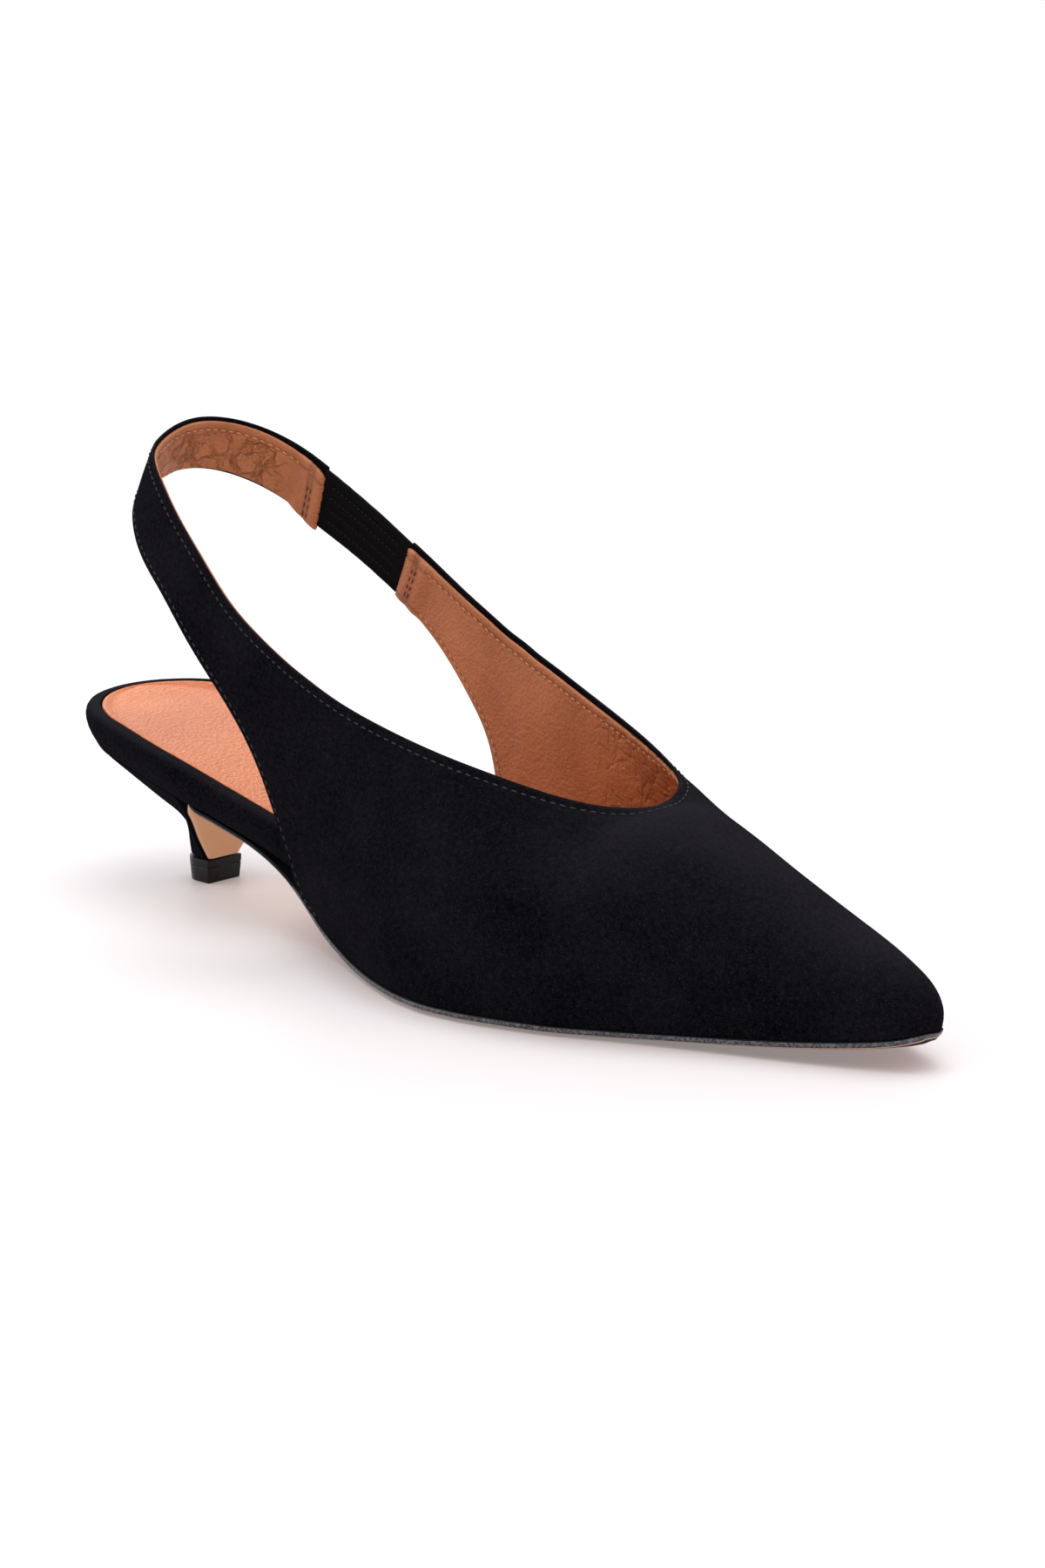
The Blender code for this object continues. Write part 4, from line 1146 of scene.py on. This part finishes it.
def soleHalf(x, side):
    ledge, back = soleLook["ledge"], last["seatBack"]
    grow = ledge + (platformLook["tuck"] * 0.85 + ledge) * (float(ease(x, 70, 112)) - 1)
    shrink = (last["length"] + soleLook["tipLedge"] - back) / (last["length"] - back)
    w = halfWidth(back + (x - back) / shrink, side)
    return max(w + grow * min(w / 6.0, 1.0), 0.0)


def soleRows():
    look = soleLook
    rows = []
    for x in stations(last["length"] + look["tipLedge"], 60.0, look["steps"]):
        thick = look["shank"] + (look["thick"] - look["shank"]) * float(ease(x, 70, 120))
        top = float(underside(x)) - last["gap"]
        rows.append((x, top - thick, x, top, soleHalf(x, -1), soleHalf(x, 1)))
    for low, lowDrop, high, highDrop, lateral, medial in soleTurn:
        top = float(underside(high)) - last["gap"]
        rows.append((low, top - look["shank"] - lowDrop, high, top - highDrop, lateral, medial))
    for back, backUp, breast, breastUp, half, _, _ in heelRows:
        half = half - look["flapInset"]
        rows.append((breast, breastUp, breast - look["flap"], breastUp, half, half))
    # the turn and the flap are spaced out by a spline
    start = look["steps"]
    fine = flowing(rows[start - 4:])
    end = len(rows) - start + 3
    return rows[:start - 2] + [tuple(fine(q)) for q in np.linspace(2, end, look["turnSteps"])]


def buildSole():
    look = soleLook
    shape = Shape()
    rings = []
    for x, z, xIn, zIn, lateral, medial in soleRows():
        bevel = look["bevel"] * (0.2 + 0.8 * float(ease(x, 60, 95)))
        bevel = min(bevel, min(lateral, medial) * 0.1)
        pull = look["tipPull"] * float(ease(x, last["length"] - look["tipLength"], last["length"]))
        outer, inner = np.array([x, z]), np.array([xIn, zIn])
        side = []
        for share, cut in soleEdge:
            p = outer + (inner - outer) * share
            side.append((p[0] - pull * (1 - share) ** 1.3, p[1], cut * bevel))
        ring = [(px, -max(lateral - c, 0), pz) for px, pz, c in side]
        for reach in (6.0, 9.0, lateral):
            ring.append((x - pull, -max(lateral - reach, lateral * 0.5), z))
        for reach in (medial, 9.0, 6.0):
            ring.append((x - pull, max(medial - reach, medial * 0.5), z))
        ring += [(px, max(medial - c, 0), pz) for px, pz, c in side[::-1]]
        ring += [(xIn, medial * 0.5, zIn), (xIn, -lateral * 0.5, zIn)]
        rings.append(shape.add(ring))
    count, half = len(rings[0]), len(soleEdge) + 3
    underneath = range(len(soleEdge), half + 3)
    turns = len(soleTurn) + len(heelRows) + 1
    flapStart = len(rings) - look["turnSteps"] + look["turnSteps"] * (len(soleTurn) + 1) // turns
    for row in range(len(rings) - 1):
        a, b = rings[row], rings[row + 1]
        highlighted = range(1, 5) if row < look["highlightRows"] else (3,)
        for i in range(count):
            # burnished band above, glossy and painted a lighter grey as a highlight; bare leather at the rounded
            # corner and underneath, black elsewhere
            level = i if i < half else 2 * half - 1 - i
            ink = 0 if level == 5 or i in underneath else 2 if level in highlighted else 1
            if row >= flapStart:
                ink = 1 if level < 3 else 0
            j = (i + 1) % count
            shape.face((b[i], b[j], a[j], a[i]), ink)
    end = rings[-1]
    left, right = end[:half], end[2 * half - 1:half - 1:-1]
    for i in range(half - 1):
        shape.face((right[i], right[i + 1], left[i + 1], left[i]), 1)
    return shape.make("soleStrip", [plain["soleLeather"], plain["edgeInk"], paintedEdgeHighlight], 35)


heelLook = {"steps": 36, "rings": 44, "seatFront": 45.4, "turnShare": 0.35,
            "rollTop": 0.35, "rollTip": 0.3, "rollReach": 0.06}


def heelLevel(row, count):
    back, backUp, breast, breastUp, half, backFull, sideFull = row
    breast = breast - soleLook["flap"] - last["gap"]
    turn = breast - (breast - back) * heelLook["turnShare"]
    points = []
    for s in np.linspace(0, 1, count):
        r = 1 - s
        x = r ** 3 * back + 3 * r * r * s * back + 3 * r * s * s * turn + s ** 3 * breast
        y = 3 * r * r * s * half * backFull + 3 * r * s * s * half * sideFull + s ** 3 * half
        z = backUp + (breastUp - backUp) * (x - back) / (breast - back)
        points.append((x, y, z))
    return points


def buildHeel():
    look = heelLook
    count = look["steps"]
    seat = inset(platformLoop(241), platformLook["tuck"])
    half = len(seat) // 2 + 1
    sides = {-1: seat[:half], 1: np.vstack([seat[:1], seat[:half - 2:-1]])}
    back, front = seat[0][0], look["seatFront"]
    top = {-1: [], 1: []}
    for a in np.linspace(0, 1, count):
        x = back + (front - back) * (1 - math.cos(a * math.pi / 2))
        for side in (-1, 1):
            y = float(np.interp(x, sides[side][:, 0], sides[side][:, 1]))
            top[side].append((x, y if a > 0 else 0.0, float(underside(x)) - last["gap"]))
    levels = [np.array(top[-1] + top[1][:0:-1])]
    for row in heelRows:
        level = heelLevel(row, count)
        levels.append(np.array([(x, -y, z) for x, y, z in level] + [(x, y, z) for x, y, z in level[:0:-1]]))
    fine = [flowing([level[i] for level in levels]) for i in range(len(levels[0]))]
    shape = Shape()
    rings = []
    ends = len(levels) - 1
    middle = np.linspace(0.12, ends - 0.1, look["rings"])
    where = np.concatenate([[0, 0.02, 0.06], middle, [ends - 0.03, ends]])
    for q in where:
        ring = np.array([at(q) for at in fine])
        middle = ring.mean(axis=0)
        away = ring - middle
        away[:, 2] = 0
        away /= np.maximum(np.linalg.norm(away, axis=1), 1e-6)[:, None]
        # both ends roll in a little
        roll = look["rollTop"] * max(1 - q / look["rollReach"], 0) ** 2
        roll += look["rollTip"] * max(1 - (ends - q) / look["rollReach"], 0) ** 2
        rings.append(shape.add(ring - away * roll))
    for a, b in zip(rings[:-1], rings[1:]):
        shape.band(b, a)
    for ring, flip in ((rings[0], False), (rings[-1], True)):
        for i in range(1, count):
            c = ring[len(ring) - i]
            d = ring[len(ring) - i + 1] if i > 1 else ring[0]
            face = (ring[i - 1], ring[i], c, d)
            shape.face(face[::-1] if flip else face)
    return shape.make("heelCover", [suede], 50)


tipLook = {"length": 11.0, "width": 11.8, "height": last["tipHeight"], "parting": 4.3,
           "corner": 0.45, "steps": 40, "keyHalf": 2.3, "keyLow": 1.5, "keyHigh": 5.3}


def buildTip():
    look = tipLook
    front = last["heelAxis"] + look["length"] / 2
    corner = look["corner"]
    shape = Shape()
    rings = []
    parting, height = look["parting"], look["height"]
    rows = [(0.0, 0.75), (0.08, 0.5), (0.3, 0.4),
            (parting - 0.22, 0.1), (parting - 0.1, 0.16), (parting, 0.3),
            (parting + 0.1, 0.12), (parting + 0.25, 0.04),
            (height - 0.3, 0.0), (height - 0.08, 0.08), (height, 0.3)]
    for z, cut in rows:
        halfW = look["width"] / 2 - cut
        xf, xb = front - cut, front - look["length"] + cut
        line = []
        for a in np.linspace(0, math.pi / 2, 6):
            line.append((xf - corner + corner * math.cos(a), -(halfW - corner) - corner * math.sin(a), z))
        for a in np.linspace(0, math.pi, look["steps"]):
            line.append((xb + halfW - halfW * math.sin(a), -halfW * math.cos(a), z))
        for a in np.linspace(math.pi / 2, 0, 6):
            line.append((xf - corner + corner * math.cos(a), (halfW - corner) + corner * math.sin(a), z))
        rings.append(shape.add(line))
    for a, b in zip(rings[:-1], rings[1:]):
        shape.band(b, a)
    shape.face(rings[0])
    shape.face(rings[-1][::-1])
    # raised key on the flat front
    x0, x1 = front - 0.3, front + 0.02
    key = []
    for grow, x in ((0.25, x0), (0.0, x0 + 0.15), (-0.15, x1)):
        w, z0, z1 = look["keyHalf"] + grow, look["keyLow"] - grow, look["keyHigh"] + grow
        key.append(shape.add([(x, -w, z0), (x, w, z0), (x, w, z1), (x, -w, z1)]))
    shape.band(key[0], key[1])
    shape.band(key[1], key[2])
    shape.face(key[2])
    return shape.make("topPiece", [plain["blackPlastic"]], 35)


for item, label in ((buildPlatform(), "insole_platform"), (buildSock(), "sock"), (buildSole(), "outsole"),
                    (buildHeel(), "heel"), (buildTip(), "top_piece")):
    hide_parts(label)
print("stage: platform, sock, sole and heel built")


# elastic with lengthwise ribs
goreLook = {"wall": 1.3, "sink": 0.25, "columns": 12, "ends": (0.004, 2.996),
            "headDrop": 0.8, "footDrop": 0.5, "ribs": 5, "ribHeight": 0.16}


def buildGore():
    look = goreLook
    columns = edgeColumns(strap, *look["ends"], look["columns"], look["sink"])
    columns = [respaced(c, look["headDrop"], look["footDrop"], 0, 0) for c in columns]
    verts, polys = sheetMesh(columns)
    normals = vertexNormals(verts, polys)
    low, high = lineOf([c[0] for c in columns]), lineOf([c[-1] for c in columns])
    a, b = nearestDistance(verts, low), nearestDistance(verts, high)
    share = a / np.maximum(a + b, 1e-6)
    wave = look["ribHeight"] * np.cos(share * 2 * math.pi * look["ribs"])
    return shell("elasticBand", verts, polys, normals, wave, -look["wall"] - wave, plain["elasticWeave"])


gore = buildGore()
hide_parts("elastic_gore")


# stitches: short capsules laid along rows at a set distance from an edge
stitchLook = {
    "pitch": 2.35,
    "length": 1.35,
    "radius": 0.2,
    "sunk": 0.08,
    "wingInset": 1.2,
    "tabRaise": 0.5,
    "elasticShares": (0.2, 0.4, 0.6, 0.8),
    "elasticPitch": 1.5,
    "elasticLength": 0.8,
    "elasticRadius": 0.16,
    "elasticSunk": 0.06,
}


def capsule(points, faces, middle, along, up, length, radius):
    side = np.cross(along, up)
    sides, rows = 6, ((-0.5, 0.25), (-0.42, 0.8), (-0.2, 1.0), (0.2, 1.0), (0.42, 0.8), (0.5, 0.25))
    first = len(points)
    for share, size in rows:
        for k in range(sides):
            a = 2 * math.pi * k / sides
            points.append(middle + along * share * length
                          + (up * math.cos(a) + side * math.sin(a)) * radius * size - up * 0.35 * radius * (1 - size))
    for r in range(len(rows) - 1):
        for k in range(sides):
            m = (k + 1) % sides
            faces.append((first + r * sides + k, first + r * sides + m,
                          first + (r + 1) * sides + m, first + (r + 1) * sides + k))
    faces.append(tuple(first + k for k in range(sides))[::-1])
    faces.append(tuple(first + (len(rows) - 1) * sides + k for k in range(sides)))


def alongSurface(tree, line, distance, toward):
    # shifts a line across the surface, away from the edge it runs along
    out = []
    for i, p in enumerate(line):
        t = unit(line[min(i + 1, len(line) - 1)] - line[max(i - 1, 0)])
        q = np.array(p, float)
        for _ in range(4):
            place, normal, _, _ = tree.find_nearest(Vector(q))
            n = np.array(normal)
            inward = unit(np.cross(n, t))
            if inward @ (toward[i] - p) < 0:
                inward = -inward
            q = np.array(place) + inward * distance / 4
        place, normal, _, _ = tree.find_nearest(Vector(q))
        out.append((np.array(place), np.array(normal)))
    return out


def evenRow(rows, pitch):
    points = np.array([p for p, _ in rows])
    normals = np.array([n for _, n in rows])
    run = runAlong(points)
    out = []
    for w in np.arange(pitch * 0.5, run[-1] - pitch * 0.4, pitch):
        along = pointAt(w + 0.6, run, points) - pointAt(w - 0.6, run, points)
        out.append((pointAt(w, run, points), unit(along), unit(pointAt(w, run, normals))))
    return out


def stitchRow(points, faces, tree, line, toward, distance, offset, flip=1.0):
    look = stitchLook
    for p, t, n in evenRow(alongSurface(tree, line, distance, toward), look["pitch"]):
        up = n * flip
        middle = p + n * offset + up * (look["radius"] * 0.55 - look["sunk"])
        capsule(points, faces, middle, unit(t - up * (t @ up)), up, look["length"], look["radius"])


def lineAcross(columns, share):
    rows = []
    for c in columns:
        at = flowing(c)
        rows.append(at(share * (len(c) - 1)))
    return np.array(rows)


def pairedLine(columnSet, end):
    # a free edge and a line further in that tells which way inward is
    edge = np.array([c[end] for c in columnSet])
    inner = np.array([c[len(c) // 2] for c in columnSet])
    run = runAlong(edge)
    where = np.linspace(0, run[-1], max(int(run[-1] / 0.8), 2))
    return [np.array([pointAt(w, run, data) for w in where]) for data in (edge, inner)]


# points and faces for each thread
suedeRows, liningRows, tabRows, elasticRows = ([], []), ([], []), ([], []), ([], [])
for columnSet, end, distance in ((topSet(columns), -1, upperLook["seamInset"]),
                                 (columns[:strapCount + 2], 0, lowInset),
                                 (columns[wingStart:], 0, lowInset)):
    stitchRow(*suedeRows, openTree, *pairedLine(columnSet, end), distance, 0.0)
innerSide = upperLook["liningInner"]
for columnSet, end, distance in ((topSet(liningColumns), -1, upperLook["seamInset"]),
                                 (liningColumns[wingStart:], 0, stitchLook["wingInset"])):
    stitchRow(*liningRows, liningTree, *pairedLine(columnSet, end), distance, innerSide, -1.0)
for chosen, inside in ((liningColumns[0], liningColumns[4]), (liningColumns[-1], liningColumns[-5])):
    line = lineOf(chosen[1:-1])
    toward = np.tile(np.mean(inside, axis=0), (len(line), 1))
    for distance in upperLook["tabRows"]:
        stitchRow(*tabRows, liningTree, line, toward, distance, innerSide - stitchLook["tabRaise"], -1.0)

goreColumns = edgeColumns(strap, 0.3, 2.8, 24, goreLook["sink"])
for share in stitchLook["elasticShares"]:
    rows = []
    line = lineOf(lineAcross(goreColumns, share))
    for i, p in enumerate(line):
        t = unit(line[min(i + 1, len(line) - 1)] - line[max(i - 1, 0)])
        c = goreColumns[int(i / len(line) * len(goreColumns))]
        n = unit(np.cross(t, c[-1] - c[0]))
        rows.append((p, n if n[1] > 0 else -n))
    for p, t, n in evenRow(rows, stitchLook["elasticPitch"]):
        # on the inner face, which looks towards -Y here
        middle = p - n * (goreLook["wall"] + stitchLook["elasticSunk"])
        capsule(*elasticRows, middle, t, -n, stitchLook["elasticLength"], stitchLook["elasticRadius"])
for name, rows, thread in (("elasticStitches", elasticRows, "elasticThread"),
                           ("suedeStitches", suedeRows, "darkThread"),
                           ("tabStitches", tabRows, "brownThread"),
                           ("liningStitches", liningRows, "tanThread")):
    item = finishMesh(name, *rows, [plain[thread]])
print("stage: stitches laid")


# floor, light and camera
stageLook = {
    "floor": (0.85, 0.79, 0.80),
    "glow": (0.34, 0.14, 0.10),  # painted contact shadow: dark warm tone of the floor close under the sole
    "contactShadowReach": 0.022,
    "wash": 0.22,
    "fade": (0.35, 0.95),
    "white": 1.03,
    "world": 0.89,
}
# name, place, aim, size, power
lights = [
    ("overheadLight", (0.1, 0.25, 1.8), (0.1, 0, 0.03), 1.8, 15.0),
    ("leftLight", (-0.75, -0.75, 0.7), (0.1, 0, 0.04), 0.7, 3.0),
    ("backLight", (-0.95, 0.75, 0.75), (0.0, 0, 0.05), 0.6, 2.0),
    ("frontLight", (1.1, -0.9, 0.5), (0.12, 0, 0.03), 0.7, 1.5),
]
cameraLook = {"place": (0.6267, -0.5434, 0.2203), "azimuth": 43.4, "elevation": 13.3,
              "lens": 74.34, "sensor": 36}

floorMat, floorTree, floorShader = newMaterial("floorPaint", stageLook["floor"], 0.55, 0.3)
# far from the shoe the floor glows white, so that it has no horizon
reach = node(floorTree, "ShaderNodeVectorMath", operation="LENGTH")
floorTree.links.new(node(floorTree, "ShaderNodeTexCoord").outputs["Object"], reach.inputs[0])
# painted shadow: close under the shoe the floor is painted a dark warm brown, standing in for its contact shadow and
# the warm light thrown back by the sole
contactShade = node(floorTree, "ShaderNodeAmbientOcclusion", Distance=stageLook["contactShadowReach"])
contactShade.samples = 8
paintedContactShadow = ramp(floorTree, contactShade.outputs["AO"], (0.2, stageLook["glow"]), (0.72, stageLook["floor"]))
floorTree.links.new(paintedContactShadow, floorShader.inputs["Base Color"])
fade = node(floorTree, "ShaderNodeMapRange", interpolation_type="SMOOTHSTEP")
fade.inputs["From Min"].default_value, fade.inputs["From Max"].default_value = stageLook["fade"]
fade.inputs["To Min"].default_value = stageLook["wash"]
floorTree.links.new(reach.outputs["Value"], fade.inputs["Value"])
glow = node(floorTree, "ShaderNodeEmission", Color=(1, 1, 1, 1), Strength=stageLook["white"])
blend = node(floorTree, "ShaderNodeMixShader")
floorTree.links.new(fade.outputs["Result"], blend.inputs[0])
floorTree.links.new(floorShader.outputs[0], blend.inputs[1])
floorTree.links.new(glow.outputs[0], blend.inputs[2])
floorTree.links.new(blend.outputs[0], floorTree.nodes["Material Output"].inputs["Surface"])
bpy.ops.mesh.primitive_plane_add(size=16, location=(0, 0, 0))
floor = bpy.context.object
floor.name = "floor"
floor.data.materials.append(floorMat)

backdropMat = bpy.data.materials.new("backdropPaint")
backdropMat.use_nodes = True
backdropTree = backdropMat.node_tree
backdropTree.nodes.remove(backdropTree.nodes["Principled BSDF"])
backdropGlow = node(backdropTree, "ShaderNodeEmission", Color=(1, 1, 1, 1), Strength=stageLook["white"])
backdropTree.links.new(backdropGlow.outputs[0], backdropTree.nodes["Material Output"].inputs["Surface"])
bpy.ops.mesh.primitive_plane_add(size=14, location=(-4.6, 4.9, 2.0),
                                 rotation=(math.pi / 2, 0, math.radians(cameraLook["azimuth"])))
backdrop = bpy.context.object
backdrop.name = "backdrop"
backdrop.data.materials.append(backdropMat)

world = bpy.data.worlds.new("studio")
bpy.context.scene.world = world
world.use_nodes = True
world.node_tree.nodes["Background"].inputs["Color"].default_value = (1, 1, 1, 1)
world.node_tree.nodes["Background"].inputs["Strength"].default_value = stageLook["world"]


for name, place, aim, size, power in lights:
    light = bpy.data.lights.new(name, "AREA")
    light.shape = "DISK"
    light.size = size
    light.energy = power
    item = bpy.data.objects.new(name, light)
    bpy.context.scene.collection.objects.link(item)
    item.location = place
    item.rotation_euler = (Vector(aim) - Vector(place)).to_track_quat("-Z", "Y").to_euler()

azimuth, elevation = math.radians(cameraLook["azimuth"]), math.radians(cameraLook["elevation"])
level = math.cos(elevation)
backward = Vector((math.sin(azimuth) * level, -math.cos(azimuth) * level, math.sin(elevation)))
camera = bpy.data.objects.new("camera", bpy.data.cameras.new("camera"))
bpy.context.scene.collection.objects.link(camera)
camera.location = cameraLook["place"]
camera.rotation_mode = "QUATERNION"
camera.rotation_quaternion = (-backward).to_track_quat("-Z", "Y")
camera.data.lens = cameraLook["lens"]
camera.data.sensor_width = cameraLook["sensor"]
camera.data.dof.use_dof = False
bpy.context.scene.camera = camera
bpy.context.scene.view_settings.view_transform = "Standard"

print("stage: finished")
